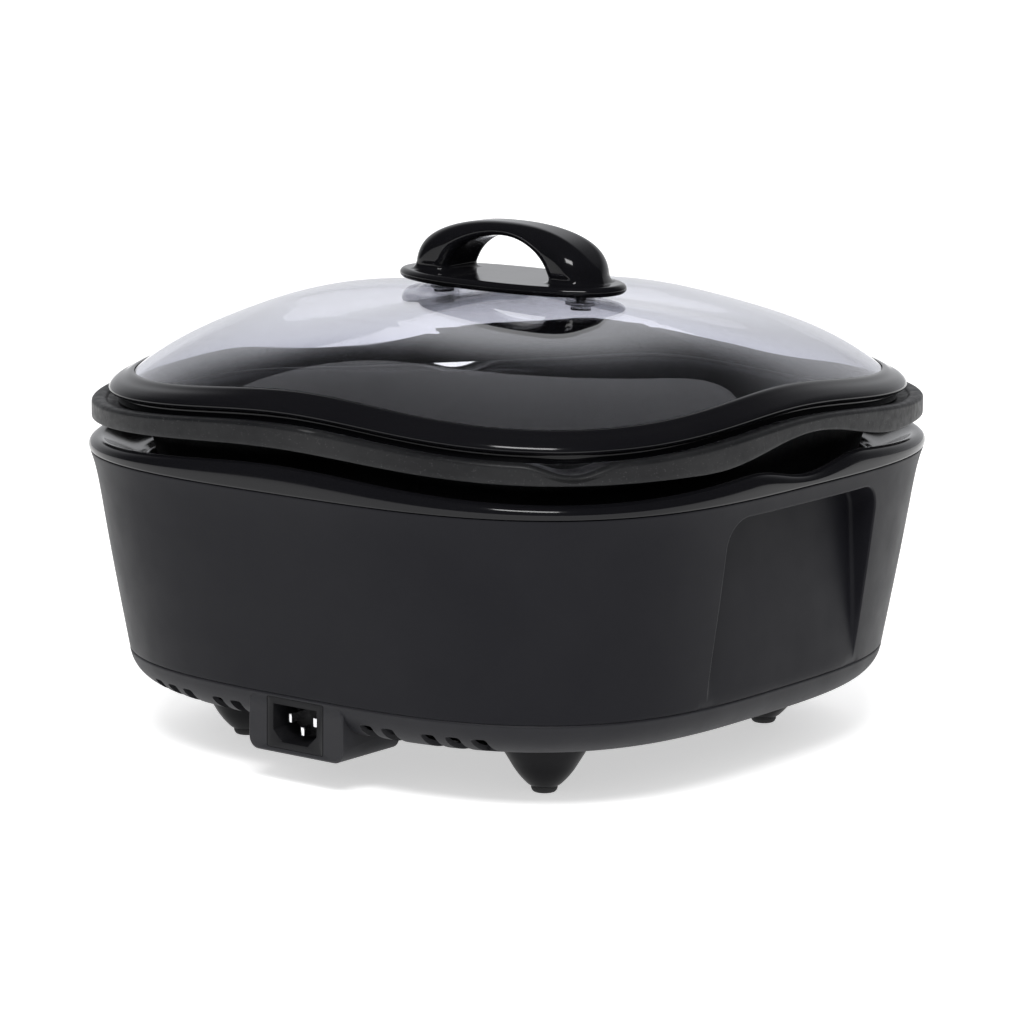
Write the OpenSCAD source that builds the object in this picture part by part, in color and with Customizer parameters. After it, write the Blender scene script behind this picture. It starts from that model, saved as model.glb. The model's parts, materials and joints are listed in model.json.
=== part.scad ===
// Countertop slow cooker with a lift-out cast pot, a heating plate and a domed glass lid.
// Z is up, the floor is at z = 0, the control panel faces -Y and the mains inlet faces +Y.

/* [Body] */
// Half width of the body at its top seam, along X
body_half = 163; // [160:0.5:166]
// How much longer the half depth along Y is than the half width, at the top seam
body_stretch = 3; // [2:0.5:4]
// Height of the seam between the body and the gloss ring above it
top_seam_z = 131; // [129:0.5:133]
// Height of the seam between the body and the base below it
low_seam_z = 41; // [39:0.5:42]
// How far the body draws in from the top seam to the low seam
body_taper = 12.8; // [11:0.1:14]
// Squareness of the body's outline: 2 is an ellipse, larger is squarer
squareness = 3.27; // [3.15:0.01:3.35]
// Thickness of the moulded plastic walls
wall = 2.5; // [2:0.1:3]

/* [Pot and lid] */
// Half width of the pot's rim along X
rim_half = 162.3; // [161:0.1:163]
// Middle height of the pot's wavy rim
rim_z = 157.3; // [156:0.1:158]
// How far the rim and the lid rise at the sides and fall at the corners
wave_rise = 3.2; // [2:0.1:4]
// Depth of the pour spouts in the rim
spout_depth = 4.7; // [3:0.1:5]
// Underside of the pot, and top of the heating plate
pot_floor_z = 64; // [63:0.5:66]
// Height of the glass at its centre
dome_top_z = 201.3; // [200:0.1:203]
// Half width of the clear part of the glass, inside the black rim
glass_half = 145.6; // [145:0.1:146]
// Highest point of the lid's handle
handle_top_z = 231.5; // [230:0.5:234]

/* [Controls] */
// Width of the control panel
panel_w = 150; // [145:1:155]
// Height of the control panel
panel_h = 58; // [56:1:60]
// Radius of the control dial
dial_r = 15; // [13:0.5:16]
// Radius of a push button
button_r = 5.5; // [5:0.25:6]

/* [Inlet and feet] */
// Half width of the mains inlet's housing
housing_half = 26; // [25:0.5:27]
// Width of a vent slot
vent_w = 6.5; // [5:0.5:7]
// Distance of each foot from the centre, along X and along Y
foot_place = 83.5; // [80:0.5:86]

/* [Hidden] */

// Angles of the outline's points. The pot's are closer together at its two pour spouts.
coarse_step = 6;
spout_angle = 135;
spout_span = 7;
fine_step = 1.75;
even_angles = [for (a = [0:coarse_step:359]) a];
spout_angles = concat(
    [for (a = [0:coarse_step:spout_angle - spout_span - 1]) a],
    [for (a = [spout_angle - spout_span:fine_step:spout_angle + spout_span]) a],
    [for (a = [spout_angle + spout_span + 2:coarse_step:spout_angle + 180 - spout_span - 1]) a],
    [for (a = [spout_angle + 180 - spout_span:fine_step:spout_angle + 180 + spout_span]) a],
    [for (a = [spout_angle + 180 + spout_span + 2:coarse_step:359]) a]
);

low_squareness = 3.12;          // squareness of the outline at the low seam and on the base
low_stretch = 1.2;              // half depth minus half width, at the low seam
flare = 1.1;                    // strength of the body's outward flare at its top
flare_reach = 0.15;             // share of the body's height over which the flare dies away
wave_sharpness = 0.08;          // second harmonic of the rim's wave
finger_span = 72;               // half length of the finger hollow under the rim
finger_lift = 8.8;              // how far the rim's skirt rises over the finger hollow
skirt_z = 145.3;                // lower edge of the rim's skirt at the corners
skirt_follow = 0.8;             // how far that edge follows the rim's wave at the front and back
scoop_span = 44;                // half length of the finger scoop in the gloss ring
scoop_depth = 6.5;              // depth of that scoop
bezel_wave = 2.9;               // wave of the gloss ring's ridge
glass_thickness = 4;            // thickness of the lid's glass
lid_gap = 0.5;                  // gap between the lid's foot and the pot's ledge
dome_drop = 32.3;               // fall of the glass from its centre to the black rim
dome_wave = 3.6;                // wave of the glass at the black rim
dome_blend = 0.53;              // share of the dome's fall that is in its shoulder
dome_power = 6.5;               // sharpness of that shoulder
dome_round = 2.4;               // squareness of the glass at its centre
handle_half_x = 58.5;           // half length of the handle's foot plate
handle_half_y = 28;             // half width of the handle's foot plate
deck_power = 2.25;              // squareness of the foot plate
handle_foot_z = 202.8;          // underside of the foot plate
handle_deck_z = 207.3;          // top of the foot plate
arch_half = 50;                 // half length of the arch at its foot
arch_power = 2.3;               // squareness of the arch seen from the side
opening_half = 29;              // half length of the finger opening at its foot
opening_rise = 20.5;            // height of the finger opening above the arch's centre
arch_z = 205;                   // height of the arch's centre
arch_top_w = 12.5;              // half width of the arch at its top
arch_foot_w = 18;               // half width of the arch at its foot
screw_x = 38;                   // distance of the handle's screws from the centre
screw_r = 2.4;                  // radius of the handle's screws
floor_z = 25;                   // underside of the base shell
liner_floor_z = 50.8;           // underside of the inner liner
liner_top_z = 127;              // top of the inner liner
plate_thickness = 7;            // thickness of the heating plate
plate_half = 112;               // half width of the heating plate
shield_z = 46;                  // underside of the heat shield
board_z = 31;                   // underside of the power board
board_thickness = 1.6;          // thickness of both circuit boards
sheet = 0.8;                    // thickness of sheet metal
inlet_z = 28.3;                 // height of the inlet's centre
housing_low_z = 15;             // underside of the inlet housing
housing_front_y = 151;          // outer face of the inlet housing
housing_back_y = 112;           // inner end of the inlet housing
vent_places = [36, 47, 66.5, 77.5, 88.5]; // centres of the vent slots, each side of the inlet
post_place = 109.6;             // distance of the base screws from the centre, along X and Y
recess_half = 57;               // half length of the grip recess
recess_top_z = 123.5;           // top of the grip recess
recess_low_z = 46;              // bottom of the grip recess, where it is only a shallow step
recess_wall = 3.2;              // thickness of the wall behind the recess's floor
recess_floor = [150.6, 146];    // half width of the recess floor at the low seam and at the recess's top
recess_corner = 12;             // radius of the recess's upper corners
panel_z = 82;                   // height of the control panel's centre
panel_tilt = 9.2;               // lean of the panel, top outwards
display_place = [-42, 0];       // place of the display on the panel
display_size = [52, 32];        // size of the display's opening
switch_columns = [34, 54];      // panel places of the two columns of buttons
switch_rows = [-11, 11];        // panel places of the two rows of buttons
column_sink = [0.3, 1.6];       // how far the curved panel falls back at each column
lens_places = [-8, 0, 8];       // panel places of the indicator lights
lens_row = 23;                  // height of the indicator lights on the panel
control_board_depth = 14;       // depth of the control board behind the panel's face
round_fn = 48;                  // smoothness of round parts

// Share of the body's taper that is reached at a height: 0 at the top seam and 1 at the low seam.
function taper_share(z) =
    let (fall = (top_seam_z - z) / (top_seam_z - low_seam_z)) fall + flare * fall * exp(-fall / flare_reach);

// Half width of the body's outer face at a height, and how much longer its half depth is there.
function body_half_at(z) = body_half - body_taper * taper_share(z);
function stretch_at(z) = body_stretch - (body_stretch - low_stretch) * taper_share(z);

// Outline: distance from the axis to a squared ellipse, in the direction of an angle.
function outline_radius(angle, half_x, half_y, power) =
    pow(pow(abs(cos(angle)) / half_x, power) + pow(abs(sin(angle)) / half_y, power), -1 / power);

// The wave of the rim: +1 at the middle of each side and -1 at each corner.
function wave(angle) = cos(4 * angle) + wave_sharpness * (cos(8 * angle) - 1);

// A smooth bump from 1 at its middle to 0 at its span.
function bump(distance, span) = abs(distance) < span ? (1 + cos(180 * distance / span)) / 2 : 0;

// 1 at the middle of a pour spout, 0 away from it.
function spout(angle) =
    bump(min(abs(angle - spout_angle), abs(angle - spout_angle - 180)), spout_span);

// True on the two sides that face +X and -X.
function on_grip_side(angle) = abs(cos(angle)) > abs(sin(angle));

// One ring of points round the object: half width, height, and how far it follows the wave, dips at
// the spouts, and rises along a span in the middle of the two grip sides.
function ring(half, z, rise = 0, dip = 0, lift = 0, span = 1, stretch = body_stretch, power = squareness,
              at = even_angles) = [
    for (angle = at)
        let (r = outline_radius(angle, half, half + stretch, power), y = r * sin(angle))
        [
            r * cos(angle),
            y,
            z + rise * wave(angle) - dip * spout(angle) + (on_grip_side(angle) ? lift * bump(y, span) : 0)
        ]
];

// One ring of the pot, with the close points at its spouts.
function pot_ring(half, z, rise = 0, dip = 0) = ring(half, z, rise, dip, at = spout_angles);

// One ring along the skirt of the pot's rim: it waves at the front and back, and clears the fingers
// on the grip sides.
function skirt_ring(half, z) = [
    for (angle = spout_angles)
        let (r = outline_radius(angle, half, half + body_stretch, squareness), y = r * sin(angle))
        [
            r * cos(angle),
            y,
            z + (on_grip_side(angle)
                ? finger_lift * bump(y, finger_span)
                : skirt_follow * wave_rise * (wave(angle) + 1))
        ]
];

// One ring of the glass at a share of the way from its centre to the black rim, lowered by a depth.
function dome_z(share) =
    dome_top_z - dome_drop * ((1 - dome_blend) * pow(share, 2) + dome_blend * pow(share, dome_power));
function dome_ring(share, depth) =
    ring(glass_half * share, dome_z(share) - depth, dome_wave * pow(share, 1.5),
         power = dome_round + (squareness - dome_round) * pow(share, 2));

// One ring of the body's wall at a height, moved outwards by an offset.
function body_ring(z, offset) =
    ring(body_half_at(z) + offset, z, stretch = stretch_at(z),
         power = squareness - (squareness - low_squareness) * taper_share(z));

function mean_height(points) = [for (p = points) 1] * [for (p = points) p[2]] / len(points);

// Faces between neighbouring rings of points.
function ring_faces(rings, count, closed) = [
    for (k = [0:rings - (closed ? 1 : 2)], i = [0:count - 1])
        let (j = (i + 1) % count, low = k * count, high = ((k + 1) % rings) * count)
        each [[low + i, high + i, high + j], [low + i, high + j, low + j]]
];

// A ring-shaped solid: the rings go up its outside, over the top and down its inside.
module hoop(rings) {
    polyhedron(points = [for (r = rings) each r], faces = ring_faces(len(rings), len(rings[0]), true));
}

// A solid whose first ring is closed from below and whose last ring is closed from above.
module loft(rings) {
    count = len(rings[0]);
    last = (len(rings) - 1) * count;
    low_middle = len(rings) * count;
    top_middle = low_middle + 1;
    polyhedron(
        points = concat(
            [for (r = rings) each r],
            [[0, 0, mean_height(rings[0])], [0, 0, mean_height(rings[len(rings) - 1])]]
        ),
        faces = concat(
            ring_faces(len(rings), count, false),
            [for (i = [0:count - 1]) [low_middle, i, (i + 1) % count]],
            [for (i = [0:count - 1]) [top_middle, last + (i + 1) % count, last + i]]
        )
    );
}

// A round tube swept along points. The up vector must never lie along the path.
module swept_tube(path, radius, sides, up) {
    count = len(path);
    rings = [
        for (k = [0:count - 1])
            let (
                along = path[min(k + 1, count - 1)] - path[max(k - 1, 0)],
                across = cross(along, up) / norm(cross(along, up)),
                over = cross(across, along) / norm(along)
            )
            [
                for (i = [0:sides - 1])
                    let (a = 360 * i / sides) path[k] + radius * (cos(a) * across + sin(a) * over)
            ]
    ];
    polyhedron(
        points = [for (r = rings) each r],
        faces = concat(
            [for (f = ring_faces(count, sides, false)) [f[2], f[1], f[0]]],
            [[for (i = [sides - 1:-1:0]) i]],
            [[for (i = [0:sides - 1]) (count - 1) * sides + i]]
        )
    );
}

// A point on a Bezier curve with four control points.
function curve_point(c, t) =
    pow(1 - t, 3) * c[0] + 3 * pow(1 - t, 2) * t * c[1] + 3 * (1 - t) * t * t * c[2] + t * t * t * c[3];

// A lead from one point to another, leaving along one direction and arriving along another.
// Both of its ends are straight.
module lead(from, leave, to, arrive, radius) {
    stub = 2;
    first = from + leave * stub / norm(leave);
    last = to - arrive * stub / norm(arrive);
    controls = [first, first + leave, last - arrive, last];
    steps = 14;
    path = [for (k = [0:steps]) curve_point(controls, k / steps)];
    swept_tube(concat([from], path, [to]), radius, 8, [1, 0.3, 0.05]);
}

// A rectangle with round corners, centred.
module rounded_rect(w, h, r) {
    square([w - 2 * r, h], center = true);
    square([w, h - 2 * r], center = true);
    for (x = [-1, 1], y = [-1, 1])
        translate([x * (w / 2 - r), y * (h / 2 - r)]) circle(r, $fn = round_fn);
}

// A straight round hole or rod.
module rod(r, h) {
    cylinder(r = r, h = h, $fn = round_fn);
}

// A washer.
module washer(inner, outer, h) {
    difference() {
        rod(outer, h);
        translate([0, 0, -1]) rod(inner, h + 2);
    }
}

// Children at the four corners of a rectangle.
module at_corners(x, y) {
    for (a = [-1, 1], b = [-1, 1]) translate([a * x, b * y, 0]) children();
}

// Children in the control panel's own frame: X to its right, Y up the panel, Z out of its face.
module on_panel() {
    translate([0, -(body_half_at(panel_z) + stretch_at(panel_z)), panel_z])
        rotate([90 + panel_tilt, 0, 0]) children();
}

// A flat shape on the panel, pushed through the front wall.
module through_panel() {
    on_panel() translate([0, 0, -12]) linear_extrude(24) children();
}

// ---- Lid ----

dome_shares = [0.1, 0.28, 0.46, 0.62, 0.75, 0.85, 0.92, 0.97, 1.0, 1.03];

module lid_glass() {
    count = len(dome_shares);
    color([0.75, 0.78, 0.82, 0.4])
    difference() {
        loft(concat(
            [for (s = dome_shares) dome_ring(s, glass_thickness)],
            [for (k = [count - 1:-1:0]) dome_ring(dome_shares[k], 0)]
        ));
        for (side = [-1, 1]) translate([side * screw_x, 0, dome_top_z - 15]) rod(screw_r + 0.8, 25);
    }
}

// The black rim wraps the edge of the glass and carries the foot that sits in the pot's rim.
module lid_rim() {
    color([0.04, 0.04, 0.045])
    hoop([
        ring(152.4, 159.6, wave_rise),
        ring(155.0, 160.4, wave_rise),
        ring(155.6, 161.5, wave_rise),
        ring(155.2, 163.0, wave_rise),
        ring(153.2, 165.3, wave_rise),
        ring(149.8, 167.5, dome_wave),
        ring(146.8, 169.2, dome_wave),
        ring(145.7, 169.35, dome_wave),
        ring(146.0, 168.95, dome_wave),
        ring(150.5, 164.6, dome_wave),
        ring(150.5, 159.9, dome_wave),
        ring(147.3, 161.2, wave_rise),
        ring(147.3, 158.6, wave_rise),
        ring(148.2, 155.7 + lid_gap, wave_rise),
        ring(152.0, 155.7 + lid_gap, wave_rise)
    ]);
}

// The outline of the handle's foot plate.
oval_points = [
    for (a = [0:7.5:359])
        let (r = outline_radius(a, handle_half_x, handle_half_y, deck_power)) [r * cos(a), r * sin(a)]
];

// The arch as a slab seen from the side: an oval with the finger opening cut out of it.
arch_points = 32;
function side_curve(half, rise, power) = [
    for (k = [0:arch_points])
        let (a = 180 * k / arch_points, r = outline_radius(a, half, rise, power))
        [r * cos(a), arch_z + r * sin(a)]
];
module arch_side() {
    polygon(concat(
        side_curve(arch_half, handle_top_z - arch_z, arch_power),
        [for (k = [arch_points:-1:0]) side_curve(opening_half, opening_rise, 2)[k]]
    ));
}

// The arch seen from above: it is slimmer in the middle, and rounded at its ends.
function arch_half_width(x) =
    let (share = x / arch_half)
    (arch_top_w + (arch_foot_w - arch_top_w) * pow(share, 2)) * sqrt(max(0, 1 - pow(share, 8)));
module arch_plan() {
    steps = [for (k = [0:arch_points]) -arch_half * cos(180 * k / arch_points)];
    polygon(concat(
        [for (x = steps) [x, -arch_half_width(x)]],
        [for (k = [arch_points - 1:-1:1]) [steps[k], arch_half_width(steps[k])]]
    ));
}

module lid_handle() {
    color([0.03, 0.03, 0.035])
    difference() {
        union() {
            intersection() {
                into_back(handle_half_y, 0, 2 * handle_half_y) arch_side();
                translate([0, 0, handle_foot_z]) linear_extrude(handle_top_z) arch_plan();
            }
            translate([0, 0, handle_foot_z]) linear_extrude(handle_deck_z - handle_foot_z)
                polygon(oval_points);
        }
        for (side = [-1, 1]) translate([side * screw_x, 0, handle_foot_z - 1]) rod(screw_r + 0.05, 15);
    }
}

gasket_z = dome_top_z - 0.3;

module handle_gaskets() {
    color([0.08, 0.08, 0.08])
    for (side = [-1, 1])
        translate([side * screw_x, 0, gasket_z]) washer(screw_r + 0.2, 6.5, handle_foot_z - gasket_z);
}

washer_z = dome_top_z - glass_thickness - 2.6;

module handle_washers() {
    color([0.75, 0.75, 0.76])
    for (side = [-1, 1]) translate([side * screw_x, 0, washer_z]) washer(screw_r + 0.2, 7, 1.2);
}

module handle_screws() {
    color([0.8, 0.8, 0.82])
    for (side = [-1, 1])
        translate([side * screw_x, 0, washer_z - 2.2])
        difference() {
            union() {
                rod(4.6, 2.2);
                rod(screw_r, 19);
            }
            for (turn = [0, 90])
                rotate([0, 0, turn]) translate([0, 0, 0.2]) cube([5, 1, 2], center = true);
        }
}

// ---- Pot ----

module cooking_pot() {
    color([0.09, 0.09, 0.1])
    loft([
        pot_ring(117, pot_floor_z),
        pot_ring(123, pot_floor_z + 1),
        pot_ring(128, pot_floor_z + 5),
        pot_ring(131, pot_floor_z + 13),
        pot_ring(141, 146),
        pot_ring(142.6, 150, 2),
        pot_ring(145.6, rim_z - 4.7, wave_rise, 2.5),
        pot_ring(157.5, rim_z - 4.1, wave_rise, 3),
        pot_ring(rim_half - 2.5, rim_z - 5.3, wave_rise, 3),
        skirt_ring(rim_half - 2.1, skirt_z + 0.6),
        skirt_ring(rim_half - 0.7, skirt_z),
        skirt_ring(rim_half, skirt_z + 0.9),
        pot_ring(rim_half, rim_z - 1.7, wave_rise, spout_depth),
        pot_ring(rim_half - 0.7, rim_z - 0.3, wave_rise, spout_depth),
        pot_ring(rim_half - 2, rim_z + 0.2, wave_rise, spout_depth),
        pot_ring(157.2, rim_z, wave_rise, spout_depth),
        pot_ring(156, rim_z - 1.3, wave_rise, 4),
        pot_ring(144, rim_z - 1.6, wave_rise, 4),
        pot_ring(141.4, rim_z - 2.8, wave_rise, 3),
        pot_ring(139.6, 151, 2, 1),
        pot_ring(138, 142),
        pot_ring(128.2, pot_floor_z + 14),
        pot_ring(125, pot_floor_z + 7.5),
        pot_ring(119.5, pot_floor_z + 4),
        pot_ring(115, pot_floor_z + 3.5)
    ]);
}

// ---- Casing ----

// One ring of the gloss ring: its ridge waves, and is scooped out at the two grip sides.
function bezel_ring_at(half, z, share) =
    ring(half, z, bezel_wave * share, 0, -scoop_depth * share, scoop_span);

module bezel_ring() {
    color([0.02, 0.02, 0.025])
    hoop([
        bezel_ring_at(158.6, top_seam_z, 0),
        bezel_ring_at(162.0, top_seam_z, 0),
        bezel_ring_at(163.1, top_seam_z + 0.6, 0),
        bezel_ring_at(163.5, top_seam_z + 2.2, 0.15),
        bezel_ring_at(163.3, top_seam_z + 5.2, 0.6),
        bezel_ring_at(162.4, top_seam_z + 7.6, 0.9),
        bezel_ring_at(160.6, top_seam_z + 8.9, 1),
        bezel_ring_at(158.6, top_seam_z + 8.9, 1),
        bezel_ring_at(156.8, top_seam_z + 7.6, 0.9),
        bezel_ring_at(151.5, top_seam_z + 3.0, 0.45),
        bezel_ring_at(145.5, top_seam_z - 1.2, 0.1),
        bezel_ring_at(142.6, top_seam_z - 2.4, 0),
        bezel_ring_at(141.6, liner_top_z, 0),
        bezel_ring_at(144.0, liner_top_z, 0),
        bezel_ring_at(146.5, top_seam_z - 2.6, 0.1),
        bezel_ring_at(152.5, top_seam_z + 1.2, 0.45),
        bezel_ring_at(157.0, top_seam_z + 4.8, 0.85),
        bezel_ring_at(157.2, top_seam_z, 0),
        bezel_ring_at(157.2, top_seam_z - 4.6, 0),
        bezel_ring_at(158.6, top_seam_z - 4.6, 0)
    ]);
}

body_heights = [52, 66, 84, 102, 114, 122, 127]; // heights of the wall's rings between its seams

// The grip recess as a solid: everything outside its floor, within its window. The cup behind it is
// the same solid with its window and its floor moved.
module recess_block(grow, floor_grow) {
    heights = [recess_low_z - 8, 85, recess_top_z + 8];
    low = recess_floor[0] - floor_grow;
    slope = (recess_floor[1] - recess_floor[0]) / (recess_top_z - low_seam_z);
    tall = recess_top_z + grow - (recess_low_z - grow) + 40;
    difference() {
        for (side = [-1, 1])
            mirror([side > 0 ? 0 : 1, 0, 0])
            translate([120, 0, recess_top_z + grow - tall / 2])
            rotate([90, 0, 90])
            linear_extrude(60)
            intersection() {
                rounded_rect(2 * (recess_half + grow), tall, recess_corner + grow);
                translate([-100, -tall / 2 + 40]) square([200, tall]);
            }
        loft([for (z = heights) ring(low + slope * (z - low_seam_z), z, stretch = low_stretch)]);
    }
}

// The window in the front wall that the control panel fills.
module panel_window(play) {
    through_panel() rounded_rect(panel_w + 2 * play, panel_h + 2 * play, 6);
}

// The body's rings between its two seams, moved outwards by an offset.
function wall_rings(offset) = [
    for (z = concat(low_seam_z, body_heights, top_seam_z - 0.6)) body_ring(z, offset)
];
function reversed(list) = [for (k = [len(list) - 1:-1:0]) list[k]];

// The cup behind each grip recess: it ends halfway through the wall.
module recess_cups() {
    intersection() {
        recess_block(wall, recess_wall);
        loft([for (z = concat(low_seam_z + 1, body_heights, top_seam_z - 2)) body_ring(z, -wall / 2)]);
    }
}

// Posts for the base screws, each with a rib to the wall.
module screw_posts() {
    for (turn = [45:90:315]) rotate([0, 0, turn]) translate([post_place * sqrt(2), 0, low_seam_z]) {
        rod(5, 9);
        translate([0, -1.5, 2]) cube([14.5, 3, 7]);
    }
}

module body_shell() {
    color([0.16, 0.16, 0.175])
    difference() {
        union() {
            hoop(concat(
                wall_rings(0),
                [ring(body_half - 0.5, top_seam_z), ring(body_half - wall, top_seam_z)],
                reversed(wall_rings(-wall))
            ));
            recess_cups();
            screw_posts();
        }
        recess_block(0, 0);
        panel_window(0.3);
        at_corners(post_place, post_place) translate([0, 0, low_seam_z - 1]) rod(1.75, 9);
    }
}

// Half width and height along the base's outer face, up to the low seam, and back down its inner face.
base_outer = [
    [124, 25], [131, 25.2], [139, 26.7], [144.5, 29.5], [148, 33.3], [149.7, 37.5], [150.2, 41]
];
base_inner = [
    [147.7, 41], [147.2, 37.8], [145.6, 34.4], [142.6, 31.2], [138, 28.9], [131, 27.6], [124, 27.5]
];

// A solid pushed from a height towards -Y, from an outline in X and Z.
module into_back(y, z, depth) {
    translate([0, y, z]) rotate([90, 0, 0]) linear_extrude(depth) children();
}

flange_size = [30.5, 22];       // face of the inlet insert
insert_size = [27.4, 19.8];     // body of the inlet insert behind its face
housing_tall = low_seam_z - 0.5 - housing_low_z;
notch_half = 17;                // half width of the notch for the mains leads

module base_shell() {
    color([0.2, 0.2, 0.215])
    difference() {
        union() {
            loft([
                for (row = concat(base_outer, base_inner))
                    ring(row[0], row[1], stretch = low_stretch, power = low_squareness)
            ]);
            into_back(housing_front_y, housing_low_z + housing_tall / 2, housing_front_y - housing_back_y)
                rounded_rect(2 * housing_half, housing_tall, 5);
            at_corners(post_place, post_place)
                translate([0, 0, floor_z + 1]) rod(5, low_seam_z - floor_z - 1);
        }
        for (side = [-1, 1], x = vent_places)
            translate([side * x - vent_w / 2, 126, floor_z - 5]) cube([vent_w, 40, 13.5]);
        translate([-housing_half + wall, housing_back_y + wall, housing_low_z + wall])
            cube([2 * (housing_half - wall), housing_front_y - housing_back_y - 2 * wall, 30]);
        // A notch that lets the mains leads out of the housing.
        translate([-notch_half, housing_back_y - 1, floor_z + wall + 0.3])
            cube([2 * notch_half, wall + 2, 30]);
        into_back(housing_front_y + 1, inlet_z, 3)
            rounded_rect(flange_size[0] + 0.8, flange_size[1] + 0.4, 1.2);
        into_back(housing_front_y + 1, inlet_z, 6)
            square([insert_size[0] + 0.4, insert_size[1] + 0.4], center = true);
        at_corners(post_place, post_place) translate([0, 0, floor_z - 1]) {
            rod(4, 6);
            rod(1.9, 20);
        }
    }
}

module base_screws() {
    color([0.55, 0.55, 0.57])
    at_corners(post_place, post_place) translate([0, 0, floor_z + 2.8]) {
        rod(3.5, 2.2);
        rod(1.7, 19);
    }
}

// Radius and height along the outside of a foot.
foot_profile = [[5.9, 2.9], [6.4, 3.3], [9.2, 5.6], [12.2, 9.2], [15.4, 14.3], [18.6, 19.8], [20.8, 25]];

module foot(x, y) {
    color([0.09, 0.09, 0.095])
    translate([x * foot_place, y * (foot_place + 0.6), 0])
    rotate_extrude($fn = round_fn)
    polygon(concat([[0, foot_profile[0][1]]], foot_profile, [[0, floor_z]]));
}

module pad(x, y) {
    color([0.05, 0.05, 0.05])
    translate([x * foot_place, y * (foot_place + 0.6), 0])
    rotate_extrude($fn = round_fn) polygon([[0, 0], [4, 0], [5.2, 0.7], [5.75, 2], [5.75, 2.9], [0, 2.9]]);
}

module foot_front_left() { foot(-1, -1); }
module foot_front_right() { foot(1, -1); }
module foot_rear_left() { foot(-1, 1); }
module foot_rear_right() { foot(1, 1); }
module pad_front_left() { pad(-1, -1); }
module pad_front_right() { pad(1, -1); }
module pad_rear_left() { pad(-1, 1); }
module pad_rear_right() { pad(1, 1); }

// ---- Mains inlet ----

blade_places = [[-7, 1.6], [7, 1.6], [0, -3.4]]; // places of the live, neutral and earth blades
blade_size = [2, 4];            // thickness and width of a blade
cavity_half = [12, 8.2];        // half width and half height of the inlet's cavity
cavity_depth = 16;

module inlet_socket() {
    half_x = cavity_half[0];
    half_z = cavity_half[1];
    bevel = 5;
    color([0.07, 0.07, 0.075])
    difference() {
        union() {
            into_back(housing_front_y, inlet_z, 2) rounded_rect(flange_size[0], flange_size[1], 1);
            into_back(housing_front_y - 1, inlet_z, 19) square(insert_size, center = true);
        }
        into_back(housing_front_y + 1, inlet_z, cavity_depth + 1)
            polygon([
                [-half_x, half_z], [half_x, half_z], [half_x, bevel - half_z], [half_x - bevel, -half_z],
                [bevel - half_x, -half_z], [-half_x, bevel - half_z]
            ]);
        for (place = blade_places)
            into_back(housing_front_y - cavity_depth + 1, inlet_z, 8)
                translate(place) square(blade_size, center = true);
    }
}

module inlet_blades() {
    color([0.8, 0.8, 0.8])
    for (place = blade_places)
        into_back(housing_front_y - 5, inlet_z, 21) translate(place) square(blade_size, center = true);
}

// ---- Heating ----

standoff_place = 72;            // distance of the plate's screws from the centre, along X and Y
element_ring_r = 75;            // radius of the heating element's ring
element_r = 3.5;                // radius of its tube
terminal_angle = -57;           // where the element's first terminal turns down
element_end = 3;                // how far the tube runs on past its terminals, in degrees
terminal_low_z = 40;            // lower end of the element's terminals
terminal_place = element_ring_r * [cos(terminal_angle), sin(terminal_angle)];
terminals = [[-terminal_place[0], terminal_place[1]], terminal_place];
plate_low_z = pot_floor_z - plate_thickness;

// A flat plate with the object's outline.
module slab(half, z, thickness) {
    translate([0, 0, z]) linear_extrude(thickness) polygon([for (p = ring(half, 0)) [p[0], p[1]]]);
}

module inner_liner() {
    color([0.62, 0.63, 0.65])
    difference() {
        loft([
            ring(116, liner_floor_z),
            ring(124.9, liner_floor_z + 1.7),
            ring(130.2, liner_floor_z + 7.4),
            ring(133.7, 68),
            ring(142.0, liner_top_z - sheet),
            ring(143.4, liner_top_z - sheet),
            ring(143.4, liner_top_z),
            ring(140.8, liner_top_z),
            ring(132.5, 68.3),
            ring(129.1, liner_floor_z + 8.1),
            ring(124.2, liner_floor_z + 2.9),
            ring(116, liner_floor_z + 1.2)
        ]);
        translate([0, 0, liner_floor_z - 1]) {
            rod(9.7, 5);
            for (t = terminals) translate(t) rod(5, 5);
            at_corners(standoff_place, standoff_place) rod(2.2, 5);
        }
    }
}

module heat_shield() {
    color([0.7, 0.71, 0.72])
    difference() {
        union() {
            slab(plate_half, shield_z, sheet);
            at_corners(95, 50) translate([0, 0, shield_z]) rod(3, liner_floor_z - shield_z);
        }
        translate([0, 0, shield_z - 1]) {
            rod(12, 3);
            for (t = terminals) translate(t) rod(5, 3);
            at_corners(standoff_place, standoff_place) rod(5, 3);
        }
    }
}

// The element's open ring, with its ends a few degrees past the terminals.
module element_path(tube_r, past) {
    start = terminal_angle - past;
    translate([0, 0, plate_low_z])
        rotate([0, 0, start]) rotate_extrude(angle = 180 - 2 * start, $fn = 96)
            translate([element_ring_r, 0]) circle(tube_r, $fn = 24);
}

module heating_plate() {
    color([0.72, 0.73, 0.74])
    difference() {
        slab(plate_half, plate_low_z, plate_thickness);
        translate([0, 0, plate_low_z - 1]) rod(17, plate_thickness + 2);
        element_path(element_r + 0.1, element_end + 1);
        at_corners(standoff_place, standoff_place) translate([0, 0, plate_low_z - 1]) rod(2.05, 6);
    }
}

module heating_element() {
    color([0.35, 0.34, 0.33])
    union() {
        element_path(element_r, element_end);
        for (t = terminals) translate([t[0], t[1], terminal_low_z]) rod(3, plate_low_z - terminal_low_z);
    }
}

module plate_standoffs() {
    color([0.9, 0.88, 0.84])
    at_corners(standoff_place, standoff_place)
        translate([0, 0, liner_floor_z + 1.2]) washer(2.2, 4.5, plate_low_z - liner_floor_z - 1.2);
}

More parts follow.
